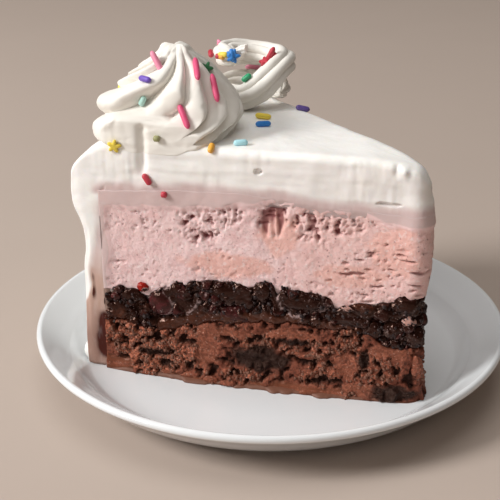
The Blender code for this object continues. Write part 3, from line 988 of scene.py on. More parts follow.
def fudge_lumps():
    """The lumps that stand out of the fudge layer. Their attributes are plum, brown, painted highlight with
    nut and cherry, and gravel.
    """

    def plain(plum, brown=0.0):
        return lambda across, up, out: (plum, brown, 0.0, 0.25 * smooth(out, 0.2, 0.6))

    def cherry(across, up, out):
        # A painted highlight round the cherry's rim.
        rim = 0.8 * smooth(math.hypot(across + 0.2, up), 0.72, 0.92)
        return 1.0 - 0.5 * smooth(up, 0.2, 0.6), 0.0, rim, 0.0

    def nut(across, up, out):
        """Broken nut: pale where it is cut, fudge over the rest."""
        patchy = math.sin(5.3 * across + 2) + math.sin(6.1 * up) + math.sin(9 * (across + up))
        return 0.4, 0.0, 1.9 * smooth(patchy, -0.7, -0.1), 0.1

    def red_bit(across, up, out):
        return 0.5, 0.0, 3.0 * smooth(math.hypot(across - 0.5, up + 0.3), 0.35, 0.6), 0.0

    def pale_edged(across, up, out):
        # A painted highlight along one side of the lump's rim.
        rim = 0.9 * smooth(math.hypot(across, up), 0.8, 0.93) * smooth(up - 0.5 * across, 0.6, 0.1)
        return 0.3, 0.0, rim, 0.15

    return both_faces((
        (27.4, 26.0, 5.4, 5.2, 1.7, 0.15, cherry),
        (16.5, 27.5, 4.2, 2.6, 0.9, 0.8, plain(0.1)),
        (34.5, 29.5, 3.6, 3.4, 0.8, 0.9, plain(0.6)),
        (48.0, 32.0, 8.5, 3.6, 1.0, 0.4, plain(0.0)),
        (51.0, 24.5, 8.0, 4.0, 0.7, 0.9, plain(0.8)),
        (61.8, 33.5, 3.6, 3.8, 1.0, 1.0, plain(0.0)),
        (74.8, 31.0, 8.8, 4.4, 1.1, 0.6, pale_edged),
        (90.5, 26.5, 8.0, 2.8, 0.9, 0.9, plain(0.1)),
        (95.0, 31.0, 4.4, 1.8, 0.8, 0.9, plain(0.3, 0.6)),
        (102.0, 30.0, 4.0, 3.6, 1.0, 1.0, plain(0.4)),
        (108.5, 33.5, 4.6, 4.2, 1.4, 1.0, plain(0.0)),
        (105.0, 24.5, 4.2, 4.2, 1.2, 1.0, plain(0.1)),
        (111.5, 23.0, 3.6, 3.4, 0.9, 1.0, plain(0.0)),
        (98.5, 24.0, 4.2, 3.2, 0.9, 1.0, plain(0.2)),
        (109.7, 28.6, 2.4, 1.9, 1.5, 1.2, nut),
        (90.0, 31.0, 2.2, 1.0, 0.8, 1.2, nut),
        (20.6, 31.0, 2.0, 1.8, 0.7, 1.0, red_bit),
        (11.0, 27.0, 1.8, 1.6, 0.9, 1.0, plain(0.9)),
    ))


def chocolate_lumps():
    """The chocolate's black chunks and the clots at its foot.

    Their attributes are pit depth for painted shade, paleness that is partly painted light, chunk, smoothed
    and gravel.
    """

    def clot(tone, chunk, smoothed=0.0):
        return lambda across, up, out: (0.0, tone, chunk, smoothed, 0.0)

    return both_faces((
        (57.0, 11.5, 5.0, 4.0, 1.3, 1.0, clot(0.1, 1.0)),
        (65.5, 9.5, 4.6, 3.4, 1.5, 1.0, clot(0.1, 1.0)),
        (102.0, 2.6, 4.2, 2.6, 2.2, 1.0, clot(0.1, 1.0)),
        (109.0, 2.8, 4.4, 2.8, 1.4, 1.0, clot(0.1, 1.0)),
        (51.0, 0.8, 2.6, 1.3, 5.2, 0.6, clot(0.35, 0.0, 0.3)),
        (44.5, 0.9, 2.8, 1.4, 4.4, 0.7, clot(0.3, 0.0, 0.4)),
        (37.0, 1.2, 3.4, 1.6, 3.6, 0.6, clot(0.4, 0.0, 0.5)),
        (88.0, 12.0, 4.0, 3.4, 1.0, 0.4, clot(0.3, 0.0, 0.6)),
        (113.0, 12.0, 2.0, 4.0, 0.6, 1.0, clot(0.5, 0.2)),
    ))


class CAKE_OT_layers(bpy.types.Operator):
    """Make the three layers of ice cream and fudge"""

    bl_idname = "cake.layers"
    bl_label = "Ice Cream Layers"

    def execute(self, context):
        spacing = mm(sizes().column)
        layer(
            "chocolate_ice_cream", base_height, chocolate_top, chocolate_relief,
            ("pit", "tone", "chunk", "smoothed", "gravel"), chocolate_finish(), round(20 / spacing),
            chocolate_lumps(),
        )
        layer(
            "fudge_crunch", chocolate_top, fudge_top, fudge_relief,
            ("plum", "brown", "vein", "gravel"), fudge_finish(), round(14 / spacing), fudge_lumps(),
        )
        layer(
            "strawberry_ice_cream", fudge_top, strawberry_top, strawberry_relief,
            ("pit", "peach", "smear"), strawberry_finish(), round(34 / spacing),
        )
        return {"FINISHED"}


# ---------------------------------------------------------------- crumbs and melt


def crumb_tree():
    """Geometry Nodes that scatter small rough crumbs where the surface's gravel attribute is high."""
    tree, (surface, density, smallest, largest, seed, finish) = geometry_tree(
        "crumbs", Surface="Geometry", Density="Float", Smallest="Float", Largest="Float", Seed="Int",
        Finish="Material",
    )
    points = node(
        tree, "GeometryNodeDistributePointsOnFaces", {"distribute_method": "RANDOM"},
        {"Mesh": surface, "Density": density * stored(tree, "gravel"), "Seed": seed},
    )
    bit = node(tree, "GeometryNodeMeshIcoSphere", None, {"Radius": 1.0, "Subdivisions": 1})

    def chance(low, high, offset):
        """A random number for each crumb."""
        values = {2: low, 3: high, "Seed": seed + offset}
        return node(tree, "FunctionNodeRandomValue", {"data_type": "FLOAT"}, values, 1)

    def chance_vector(low, high, offset):
        """A random vector for each crumb, with the same limits on each axis."""
        values = {0: (low,) * 3, 1: (high,) * 3, "Seed": seed + offset}
        return node(tree, "FunctionNodeRandomValue", {"data_type": "FLOAT_VECTOR"}, values)

    spread = chance(0.0, 1.0, 1)
    size = smallest + (largest - smallest) * spread * spread
    shape = node(
        tree, "ShaderNodeVectorMath", {"operation": "SCALE"}, {0: chance_vector(0.6, 1.3, 2), "Scale": size}
    )
    turn = node(tree, "FunctionNodeEulerToRotation", None, {0: chance_vector(0.0, 6.28, 3)})
    placed = node(
        tree, "GeometryNodeInstanceOnPoints", None,
        {"Points": points, "Instance": bit, "Rotation": turn, "Scale": shape},
    )
    # Each crumb's paleness is the surface's with some of its own at random; it is partly painted light on the
    # crumb tops.
    toned = node(
        tree, "GeometryNodeStoreNamedAttribute", {"data_type": "FLOAT", "domain": "INSTANCE"},
        {"Geometry": placed, "Name": "tone", "Value": 0.9 * stored(tree, "tone") + chance(0.0, 0.8, 4)},
    )
    return end_tree(tree, toned, finish)


def melt(name, columns, foot, width, height, finish, key):
    """A thin run of melted ice cream round part of the slice's foot, as a closed strip with thin ends."""
    rings = []
    for i, c in enumerate(columns):
        share = i / (len(columns) - 1)
        end = smooth(share, 0.0, 0.04) * smooth(share, 1.0, 0.96)
        end *= smooth(from_apex(c.x, c.y)[0], 8, 26)
        wide = 0.2 + end * width * (0.3 + 1.7 * smooth(rough(c.x, c.y, 0, 8, 41.0), -0.1, 0.7))
        high = 0.1 + end * height * (1 + 0.4 * rough(c.x, c.y, 0, 8, 44.0))
        base = foot(c)
        section = [
            (-2.5, 0.0), (-2.5, high * 1.4), (base - 0.4, high * 1.3), (base + 0.2 * wide, high),
            (base + 0.6 * wide, high * 0.75), (base + 0.9 * wide, high * 0.35), (base + wide, 0.0),
        ]
        floor = WELL_FLOOR + 0.02
        rings.append([(c.x + c.out_x * out, c.y + c.out_y * out, floor + up, 1.0) for out, up in section])
    made = tidy(rings_object(name, rings, finish, (key,)))
    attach(made, "root")
    return made


class CAKE_OT_crumbs(bpy.types.Operator):
    """Scatter the crumbs on the cut faces and run the melt round the foot"""

    bl_idname = "cake.crumbs"
    bl_label = "Crumbs and Melt"

    def execute(self, context):
        tree = crumb_tree()
        for name, density, smallest, largest in (
            ("chocolate_ice_cream", 1.0e6, 0.22 * MM, 0.75 * MM),
            ("fudge_crunch", 0.36e6, 0.25 * MM, 0.9 * MM),
        ):
            values = {
                "Density": density, "Smallest": smallest, "Largest": largest, "Seed": sizes().crumb_seed,
                "Finish": bpy.data.materials[name],
            }
            made = run_nodes(name + "_crumbs", bpy.data.objects[name + "_body"], tree, values)
            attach(made, "root")
        outer = outline(CORE_RADIUS, OUTER_RADIUS, arc_step=0.8, strip=1.0)
        faces = [c for c in outer if c.kind in ("cut", "tip")]
        arc = [c for c in outer if c.kind == "arc"]
        front = melt(
            "chocolate_melt", faces, lambda c: foot_spread(from_apex(c.x, c.y)[0]) + 0.2, 0.9, 0.9,
            bpy.data.materials["chocolate_ice_cream"], "smoothed",
        )
        back = melt("cream_melt", arc, lambda c: 0.0, 1.2, 1.2, bpy.data.materials["whipped_cream"], "fresh")
        return {"FINISHED"}


# ---------------------------------------------------------------- whipped cream


def cream_finish():
    """Soft white cream with painted shade in the swirls' creases, and stained where the other layers are
    smeared over it.
    """
    finish = Finish("whipped_cream", Subsurface_Weight=0.15, Subsurface_Scale=2 * MM, IOR=1.38)
    finish.shader.inputs["Subsurface Radius"].default_value = (1.0, 0.75, 0.55)
    stain = finish.attribute("stain")
    drift = finish.clouds(9, 3).between(0.35, 0.75)
    tint = finish.mix(0.5 * drift, paint("cream"), paint("cream_warm"))
    # Painted shade in the swirls' grooves, darker the deeper the groove.
    tint = finish.mix(0.75 * finish.attribute("crease"), tint, paint("cream_crease_shade"))
    height = parts(finish.place)[2]
    stained = finish.mix(height.between(35 * MM, 52 * MM), paint("stain_tan"), paint("mauve"))
    stained = finish.mix(0.4 * height.between(28 * MM, 14 * MM), stained, paint("chocolate_smear"))
    stained = finish.mix(stain.between(0.92, 1.25), stained, paint("drip"))
    streaks = finish.clouds(2.5, 3, finish.stretched(1, 1, 0.3))
    tint = finish.mix(stain.between(0.0, 0.9) * (0.75 + 0.5 * streaks), tint, stained)
    finish.set("Base Color", tint)
    finish.set("Roughness", 0.42 + 0.2 * finish.clouds(5, 2))
    finish.bump(finish.clouds(2.2, 4), 0.15, 0.6)
    return finish.material


def coat_swell(level):
    """The top cream hangs over the side coat as a soft skirt, and the coat is thinnest just below it."""
    skirt = 2.6 * smooth(level, 50, 61) * smooth(level, 88, 70)
    return skirt - hump(level, 46, 7, 1.4) + hump(level, 8, 9, 0.9)


def cream_cut_relief(spot):
    """Knife-smoothed cream: soft waves, drag marks, a groove, a notch, and a ridge and slit near the tip."""
    x, y, z = spot.x, spot.y, spot.z
    steep = rough(x / 3, y / 3, z / 16, 1.0, 3.0, 2)
    level = rough(x / 18, y / 18, z / 3.4, 1.0, 7.0, 2)
    dragged = steep * smooth(grain(x, y, z, 22, 5.0), 0, 0.4) + level
    out = 0.35 * rough(x, y, z, 12, 1.0) + mm(sizes().drag) * dragged * smooth(z - strawberry_top(x, y), 0, 3)
    out -= 1.5 * hump(spot.feature_run, 22.4, 1.4) * smooth(spot.level, 68, 76) * smooth(spot.level, 89, 86)
    out -= 1.8 * spot.patch(60.5, 75, 1.3, 1.0)
    near_top = smooth(spot.level, 75, 79)
    out += near_top * (hump(spot.feature_run, 106, 1.2) - 0.8 * hump(spot.feature_run, 103.5, 0.8))
    out -= 1.2 * spot.patch(101.5, 67.6, 3.5, 0.6)
    return out + tip_bulge(spot)


def coat_relief(x, y, z):
    """The outer side, spread with a palette knife and softened: upright waves and a few runs."""
    level = z - SLICE_BASE
    wave = 0.5 * rough(x, y, z / 3, 9, 5.0) + 0.2 * rough(x, y, z / 2, 3, 2.0, 2)
    run = hump(grain(x / 5, y / 5, 0, 1.0, 9.0), 0.35, 0.12, 0.7)
    run *= smooth(level, 58, 48) * smooth(level, 5, 20)
    return wave * smooth(level, 0, 8) + run + coat_swell(level)


def coat_stain(x, y, z):
    """How much of the other layers is smeared over the coat's cut edge. Past 1 it is a dark drip of fudge."""
    level, run = z - SLICE_BASE, OUTER_RADIUS - from_apex(x, y)[0]
    ragged = rough(x, y, z, 7, 13.0)
    edge = 6.6 - 3.6 * smooth(level, 58, 34) - 5.0 * smooth(level, 30, 18)
    soft = 1.2 + 1.2 * smooth(level, 30, 45)
    near = smooth(run + 0.7 * ragged, edge - 1.5 * soft, edge + 0.6 * soft)
    near *= 1 - smooth(level + 2 * ragged, 58, 65)
    drip = hump(run, 6.2 + 0.6 * ragged, 1.5) * smooth(level, 2, 7) * smooth(level, 22, 16)
    streak = 0.5 * hump(run, 3.4, 0.5) * smooth(level, 24, 28) * smooth(level, 38, 33)
    return near * (0.7 + 0.3 * smooth(level, 40, 20)) + 0.9 * drip + streak


def band_stain(x, y, z):
    """How much strawberry is smeared over the lowest few millimetres of the cream's cut face."""
    return 0.9 * smooth(z - strawberry_top(x, y) + 1.2 * rough(x, y, z, 12, 19.0), 5.2, -1.0)


def cream_body(name):
    """Whipped cream over the top and down the outer side to the plate, as one closed mesh.

    Its lower and inner edges dip behind the ice cream's surface, so that no gap shows where they meet.
    """
    spacing = mm(sizes().column)
    under = strawberry_top
    # How far the coat's cut edge laps behind the ice cream, how deep it sinks there, and the share of the
    # cream layer's height at which its cut face starts.
    lap, sink, first = 2.5, 1.5, -0.30
    coat_thickness = OUTER_RADIUS - CORE_RADIUS
    # The strip is the coat's cut edge. The inner wall has the same columns, with no width there.
    shut, full = 1e-6, 1.0

    def columns(inset, strip):
        return outline(CORE_RADIUS - lap, OUTER_RADIUS, inset, arc_step=spacing * 2, strip=strip)

    inner, outer = columns(0.0, shut), columns(0.0, full)

    def core_point(c, inset=0.0):
        """The inner wall's point for a column of the outer side."""
        angle = from_apex(c.x, c.y)[1]
        radius = CORE_RADIUS - inset
        return APEX_X - radius * math.cos(angle), APEX_Y + radius * math.sin(angle)

    def inner_point(i):
        if outer[i].kind == "arc":
            return core_point(outer[i])
        return inner[i].x - inner[i].out_x * sink, inner[i].y - inner[i].out_y * sink

    def arc_point(c, z):
        """A point of the curved outer side, with a blob at its foot and a stain beside each cut face."""
        level = z - SLICE_BASE
        from_cut = (HALF_ANGLE - abs(from_apex(c.x, c.y)[1])) * OUTER_RADIUS
        out = coat_relief(c.x, c.y, z) + 3.4 * hump(from_cut, 5.0, 2.6) * hump(level, 2, 5)
        stain = 0.45 * smooth(from_cut + 2 * rough(c.x, c.y, z, 6, 23.0), 2.4, 0.0) * smooth(level, 30, 20)
        return c.x + c.out_x * out, c.y + c.out_y * out, z, stain

    def strip_point(c, z):
        """A point of the coat's cut edge, which is part of the cream's cut face above the strawberry."""
        reach, angle = from_apex(c.x, c.y)
        run = OUTER_RADIUS - reach
        edge = 1 - smooth(run, 0, 2.5)
        above = smooth(z, under(c.x, c.y) - 2.5, under(c.x, c.y) + 2)
        joined = smooth(run, 3, 6.5)
        flow = 0.25 * rough(c.x, c.y, z, 5, 3.0) * (1 - joined) + 0.35 * rough(c.x, c.y, z, 12, 1.0) * joined
        out = flow * (1 - above) - 0.6 * edge
        out += cream_cut_relief(Spot(c.x, c.y, z)) * above * (1 - edge)
        out -= sink * smooth(run, coat_thickness + 0.2, coat_thickness + lap) * (1 - above)
        swell = coat_relief(c.x, c.y, z) * (1 - smooth(run, 0, coat_thickness))
        x = c.x + c.out_x * out - math.cos(angle) * swell
        y = c.y + c.out_y * out + math.sin(angle) * swell
        band = band_stain(c.x, c.y, z) * smooth(run, 3.5, 6.5) * smooth(z - under(c.x, c.y), -2.5, 0.5)
        return x, y, z, max(coat_stain(c.x, c.y, z), band)

    def cut_point(c, share):
        """A point of the cream layer's cut face, from behind the strawberry up to its rounded top edge."""
        low, high = under(c.x, c.y), cream_top(c.x, c.y)
        z = low + (high - low) * share
        spot = Spot(c.x, c.y, z)
        out = cream_cut_relief(spot) - sink * smooth(share, 0.0, first)
        rosy = 0.2 * smooth(spot.feature_run + 9 * rough(c.x, c.y, z, 20, 29.0, 2), 36, 70)
        return c.x + c.out_x * out, c.y + c.out_y * out, z, max(band_stain(c.x, c.y, z), rosy)

    def wall_ring(level, wall):
        """A ring at one level round the coat, which elsewhere stays on the cream layer's lower edge."""
        ring = []
        for i, c in enumerate(outer):
            z = SLICE_BASE + level
            if c.kind in ("cut", "tip"):
                ring.append(cut_point(c, first))
            elif wall == "inner":
                ring.append((*inner_point(i), z, 0.0))
            else:
                ring.append(strip_point(c, z) if c.kind == "strip" else arc_point(c, z))
        return ring

    def top_side_ring(share):
        """A ring of the cream layer's side above the coat: cut faces, tip and the shoulder's outer wall."""
        ring = []
        for c in outer:
            if c.kind in ("cut", "tip"):
                ring.append(cut_point(c, first + (1 - first) * share))
                continue
            low = SLICE_BASE + coat_rows[-1]
            z = low + (cream_top(c.x, c.y) - low) * share
            ring.append(strip_point(c, z) if c.kind == "strip" else arc_point(c, z))
        return ring

    def top_ring(inset):
        """A ring of the top, where the relief of the sides fades out inwards."""
        ring = []
        for c in columns(inset, full):
            fade = 1 - smooth(inset, 0, 2.5)
            z = cream_top(c.x, c.y)
            if c.kind == "strip":
                x, y = strip_point(c, z)[:2]
            else:
                out = coat_relief(c.x, c.y, z) if c.kind == "arc" else cream_cut_relief(Spot(c.x, c.y, z))
                x, y = c.x + c.out_x * out, c.y + c.out_y * out
            ring.append((c.x + (x - c.x) * fade, c.y + (y - c.y) * fade, z, 0.0))
        return ring

    coat_height = 58.5
    coat_steps = round(coat_height / (2 * spacing))
    coat_rows = [coat_height * i / coat_steps for i in range(coat_steps + 1)]
    rings = []
    for inset in (24, 12, 3):
        ring = []
        for c in columns(inset, shut):
            x, y = core_point(c, inset) if c.kind == "arc" else (c.x, c.y)
            ring.append((x, y, under(x, y), 0.0))
        rings.append(ring)
    seat = []
    for i, c in enumerate(outer):
        x, y = core_point(c) if c.kind == "arc" else (inner[i].x - c.out_x, inner[i].y - c.out_y)
        seat.append((x, y, under(x, y), 0.0))
    rings += [seat, wall_ring(0.0, "inner")]
    rings += [wall_ring(level, "outer") for level in coat_rows]
    face_rows = round(22 / spacing)
    rings += [top_side_ring(row / face_rows) for row in range(1, face_rows + 1)]
    insets = [0.12, 0.3, 0.55, 0.85, 1.2, 1.7, 2.3, *range(3, 30)]
    rings += [top_ring(inset) for inset in insets]
    return rings_object(name, rings, cream_finish(), ("stain",))


class CAKE_OT_cream(bpy.types.Operator):
    """Spread the whipped cream over the top and the outer side"""

    bl_idname = "cake.cream"
    bl_label = "Whipped Cream"

    def execute(self, context):
        made = tidy(cream_body("whipped_cream_body"))
        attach(made, "root")
        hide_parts("whipped_cream")
        return {"FINISHED"}


# ---------------------------------------------------------------- swirls


def swirl_place(name):
    """The middle of a swirl's foot."""
    angle = math.radians(SWIRLS[name]["angle"])
    reach = SWIRLS[name]["reach"]
    return APEX_X - reach * math.cos(angle), APEX_Y + reach * math.sin(angle)


def ridge_azimuth(number, share):
    """Direction in which a ridge stands at a share of the swirl's height, in degrees.

    A ridge sweeps round the foot and then turns up towards the peak. Ridges on the left turn up later.
    """
    turn_up = 0.45 + 0.6 * (1 - smooth(number, -1.0, 2.2))
    return -45 + 24 * (number - 1) - 245 * max(0.0, turn_up - share) ** 2 + 20 * max(0.0, share - 0.6)


def ridge_number(azimuth, share):
    """Which ridge stands in a direction, by halving; between two ridges it isn't whole."""
    low, high = -9.0, 14.0
    for _ in range(14):
        middle = (low + high) / 2
        if ridge_azimuth(middle, share) < azimuth:
            low = middle
        else:
            high = middle
    return (low + high) / 2


def front_groove(azimuth, share):
    """How deep the front swirl's surface lies in a groove, from 0 on a ridge to 1."""
    number = ridge_number(azimuth, share)
    groove = 1 - abs(math.cos(math.pi * number)) ** 0.8
    far = smooth(abs(azimuth + 20), 150, 178)
    back = 1 - abs(math.cos(math.radians(azimuth * 7.5 + 420 * share))) ** 0.7
    return groove * (1 - far) + back * far


def front_radius(azimuth, share):
    """Distance of the front swirl's surface from its axis.

    It is a dome with a blunt, notched peak. It is narrower where its turns end, and flat along the cut face.
    """
    radius = SWIRLS["swirl_front"]["radius"]
    dome = 1 - share**2.6
    peak = 0.185 * max(0.0, 1 - (max(0.0, share - 0.86) / 0.14) ** 4) ** 0.4
    peak *= 1 + 0.24 * math.cos(math.radians(5 * azimuth + 60)) * smooth(share, 0.84, 0.93)
    body = radius * max((max(0.0, dome) ** 5 + (peak * smooth(share, 0.5, 0.8)) ** 5) ** 0.2, 0.02)
    body *= 1 - 0.13 * hump(azimuth, -150, 50) * smooth(share, 0.35, 0.6) * smooth(share, 0.9, 0.8)
    facing = hump(azimuth, 20, 60)
    body *= 1 - 0.10 * facing * smooth(share, 0.35, 0.7) - 0.14 * facing * smooth(share, 0.25, 0.0)
    towards_cut = math.cos(math.radians(azimuth + 67.5))
    if towards_cut > 0.3:
        limit = (17.2 + 9 * smooth(share, 0.32, 0.2)) / towards_cut
        if body >= limit - 2:
            body = limit - 2 + 2 * math.tanh((body - limit + 2) / 2)
    depth = mm(sizes().ridge) * min(1.0, body / 12) * (1 - 0.75 * smooth(share, 0.80, 0.92))
    depth *= 0.35 + 0.65 * smooth(share, 0.0, 0.18)
    valley = 2.2 * hump(azimuth, -78, 20) * hump(share, 0.42, 0.15)
    return body - depth * front_groove(azimuth, share) - valley


def front_swirl(finish):
    """A piped swirl: rounded ridges with sharp grooves, sweeping round the foot and up to a blunt peak.

    It leans a little away from the front corner, and the knife that cut the slice has cut its foot flat.
    """
    middle_x, middle_y = swirl_place("swirl_front")
    rows, steps = ((130, 280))
    cut_x, cut_y = math.sin(HALF_ANGLE), -math.cos(HALF_ANGLE)
    rings = []
    for row in range(rows):
        share = -0.17 + 1.155 * row / (rows - 1)
        ring = []
        for step in range(steps):
            azimuth = 360 * step / steps - 200
            around = math.radians(azimuth)
            out = front_radius(azimuth, max(0.0, share)) - 6 * smooth(share, 0.0, -0.17)
            lean = 3.2 * smooth(share, 0.3, 0.9)
            x = middle_x + 0.82 * lean + out * math.cos(around)
            y = middle_y + 0.57 * lean + out * math.sin(around)
            z = CREAM_TOP + SWIRLS["swirl_front"]["height"] * share
            wobble = 0.6 * rough(x, y, z, 7, 2.0, 3) * min(1.0, out / 6)
            x, y = x + wobble * math.cos(around), y + wobble * math.sin(around)
            top = 0.26 + 0.05 * rough(x, y, 0, 14, 8.0, 2)
            past = (x - APEX_X) * cut_x + (y - APEX_Y) * cut_y
            cut = 0.0
            if past > -4:
                relief = cream_cut_relief(Spot(x, y, z)) if share < top else 0.0
                sunk = smooth(share, -0.11, -0.17) + smooth(share, top - 0.05, top + 0.05)
                past -= relief + 0.12 - 1.3 * sunk
                cut = smooth(past, -1.0, 0.5) * smooth(share, top + 0.05, top - 0.05)
            edge = 0.5 + 1.5 * smooth(share, top, top + 0.12)
            if past > -edge:
                soft = past + edge - edge * math.tanh((past + edge) / edge)
                x, y = x - cut_x * soft, y - cut_y * soft
            z += 0.7 * smooth(share, 0.86, 0.95) * math.cos(math.radians(3 * azimuth + 70))
            # The last value is how deep the point lies in a groove, which the cream's material paints as
            # shade.
            ring.append((x, y, z, front_groove(azimuth, max(0.0, share)) ** 1.5 * (1 - cut)))
        rings.append(ring)
    return rings_object("swirl_front_body", rings, finish, ("crease",))


def rope_tree():
    """Geometry Nodes that pipe a rope of cream with a star section along a rising spiral."""
    tree, (wide, narrow, start, turns, rise, rope, groove, ridges, twist, finish) = geometry_tree(
        "piped_rope", Wide="Float", Narrow="Float", Start="Float", Turns="Float", Rise="Float", Rope="Float",
        Groove="Float", Ridges="Float", Twist="Float", Finish="Material",
    )
    share = node(tree, "GeometryNodeSplineParameter")

    def eased(low, high):
        step = share.between(low, high)
        return step * step * (3 - 2 * step)

    def polar(radius, angle, height=0.0):
        along, across = radius * angle.math("COSINE"), radius * angle.math("SINE")
        return node(tree, "ShaderNodeCombineXYZ", None, {0: along, 1: across, 2: height})

    line = node(tree, "GeometryNodeCurvePrimitiveLine", None, {"End": (1.0, 0.0, 0.0)})
    fine = node(tree, "GeometryNodeResampleCurve", None, {"Curve": line, "Count": 170})
    reach = wide - (wide - narrow) * eased(0.78, 1.0)
    height = rise * (0.62 * eased(0.39, 0.61) + 0.14 * share.between(0.62, 0.9) + 0.20 * eased(0.88, 1.0))
    spiral = polar(reach, start + turns * math.tau * share, height)
    path = node(tree, "GeometryNodeSetPosition", None, {"Geometry": fine, "Position": spiral})
    opening = share.between(0.0, 0.12).math("SQRT")
    closing = 1 - 0.12 * share.between(0.55, 0.85) - 0.55 * eased(0.90, 1.0)
    uneven = 1 + 0.05 * (share * 40).math("SINE")
    tilted = node(tree, "GeometryNodeSetCurveTilt", None, {"Curve": path, "Tilt": twist * share})
    ring = node(tree, "GeometryNodeCurvePrimitiveCircle", None, {"Resolution": 112, "Radius": 1.0})
    around = node(tree, "GeometryNodeSplineParameter") * math.tau
    ridge = (ridges * around * 0.5).math("COSINE").math("ABSOLUTE") ** 0.7
    # Each point of the section keeps how deep it lies in a groove, which the cream's material paints as
    # shade.
    shade_marked_ring = node(
        tree, "GeometryNodeStoreNamedAttribute", {"data_type": "FLOAT", "domain": "POINT"},
        {"Geometry": ring, "Name": "crease", "Value": 1 - ridge},
    )
    section = polar(rope - groove * (1 - ridge), around)
    star = node(tree, "GeometryNodeSetPosition", None, {"Geometry": shade_marked_ring, "Position": section})
    swept = node(
        tree, "GeometryNodeCurveToMesh", None,
        {"Curve": tilted, "Profile Curve": star, "Scale": opening * (closing * uneven), "Fill Caps": True},
    )
    return end_tree(tree, swept, finish)


def back_swirl(finish):
    """The smaller swirl: one rope of cream that winds round a hollow and rises."""
    mesh = bpy.data.meshes.new("rope_start")
    mesh.from_pydata([(0, 0, 0)], [], [])
    start = bpy.data.objects.new("rope_start", mesh)
    bpy.context.scene.collection.objects.link(start)
    values = {
        "Wide": 11.2 * MM, "Narrow": 4.0 * MM, "Start": 0.26, "Turns": 1.75, "Rise": 16.5 * MM,
        "Rope": 5.0 * MM, "Groove": 1.3 * MM, "Ridges": 6.0, "Twist": 2.0, "Finish": finish,
    }
    made = run_nodes("swirl_back_body", start, rope_tree(), values)
    bpy.data.objects.remove(start)
    middle_x, middle_y = swirl_place("swirl_back")
    place = Vector((middle_x + 2.9, middle_y + 2.0, CREAM_TOP + 3.6)) * MM
    made.data.transform(Matrix.Translation(place))
    floor = (CREAM_TOP - 0.6) * MM
    normals = [vertex.normal.copy() for vertex in made.data.vertices]
    for vertex, normal in zip(made.data.vertices, normals):
        x, y, z = vertex.co / MM
        vertex.co += normal * 0.35 * MM * rough(x, y, z, 6, 2.0, 2)
        vertex.co.z = max(vertex.co.z, floor)
    return made


class CAKE_OT_swirls(bpy.types.Operator):
    """Pipe the two swirls of whipped cream"""

    bl_idname = "cake.swirls"
    bl_label = "Piped Swirls"

    def execute(self, context):
        finish = bpy.data.materials["whipped_cream"]
        for name, pipe in (("swirl_front", front_swirl), ("swirl_back", back_swirl)):
            made = tidy(pipe(finish))
            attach(made, "root")
            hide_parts(name)
        return {"FINISHED"}


# ---------------------------------------------------------------- sprinkles

# Rods lying on the cream: about where, which way, how long, and their colour. Each one is moved to the
# nearest surface.
RODS = [
    ((-21.5, -31.5, 111.0), (6, -2.5, -5), 8.0, "rose"),
    ((-21.5, -37.0, 106.0), (5, 0.5, -1.6), 5.2, "purple"),
    ((-23.0, -37.5, 99.5), (1, -1, -2.6), 3.6, "mint"),
    ((-8.5, -34.5, 96.0), (4.2, 0.6, -6.9), 8.6, "pink"),
    ((-10.8, -25.4, 108.6), (3.4, -4.2, -6.6), 9.5, "pink"),
    ((-5.5, -23.0, 103.0), (4.4, -2.7, -6.9), 9.4, "pink"),
    ((-19.0, 5.5, 103.5), (2.2, 2.2, 0.4), 3.8, "green"),
    ((-22.0, 3.0, 103.0), (1.5, 0.5, -1.3), 3.0, "rose"),
    ((-20.5, 3.5, 102.0), (2.6, 0, 1.8), 3.2, "violet"),
    ((-13.0, 20.5, 101.0), (1.0, -0.5, -6.5), 8.0, "red"),
    ((-13.0, 21.5, 102.8), (-3, 0.5, 0.6), 3.0, "red"),
    ((-5.5, 3.5, 87.0), (5.9, 0.7, 0.3), 6.0, "yellow"),
    ((-0.5, -3.5, 86.5), (3.4, 3.2, 0), 5.2, "blue"),
    ((-1.0, 20.5, 86.5), (3.5, 2.5, 0), 5.0, "violet"),
    ((5.5, -24.0, 86.5), (3.1, 2.7, 0.1), 4.6, "sky"),
    ((-0.5, -31.0, 85.5), (0.7, -1.9, -1.9), 3.6, "orange"),
    ((-19.5, -40.5, 75.0), (2.0, 0.7, -2.9), 4.2, "red"),
    ((-14.5, -38.5, 70.5), (1.1, 0.5, 0.1), 2.0, "red"),
    ((-16.0, -39.0, 89.0), (1.5, 0.6, 0.1), 2.2, "olive"),
    ((-28.0, 9.0, 105.0), (3.0, -0.5, 0.7), 4.0, "yellow"),
    ((-22.5, 6.5, 106.5), (-0.5, 0.4, 3), 4.4, "blue"),
    ((-22.0, 6.5, 103.0), (1.6, 1.0, -2.4), 4.0, "blue"),
    ((-30.0, 5.0, 104.0), (1, 1, 0), 2.4, "red"),
    ((-28.0, 5.0, 104.0), (1, -1, 0), 2.4, "orange"),
    ((-40.0, -12.0, 104.0), (1, 4, -3), 8.0, "pink"),
    ((-45.0, -22.0, 98.0), (1, -3, -2), 5.0, "yellow"),
    ((-38.0, -4.0, 95.0), (3, 2, -2), 5.0, "blue"),
    ((-40.0, 24.0, 98.0), (1, 3, -2), 5.0, "green"),
    ((-30.0, 33.0, 96.0), (4, 1, -1), 8.0, "rose"),
    ((-20.0, 33.0, 97.0), (3, 0, -3), 5.0, "purple"),
    ((-42.0, 10.0, 101.0), (0, 4, 1), 5.0, "red"),
    ((-40.0, 2.0, 86.5), (3, 3, 0), 5.2, "orange"),
    ((-43.0, 33.0, 84.0), (3, -1, 0), 5.0, "sky"),
    ((-49.0, 14.0, 72.0), (0, 3, -3), 5.0, "pink"),
]
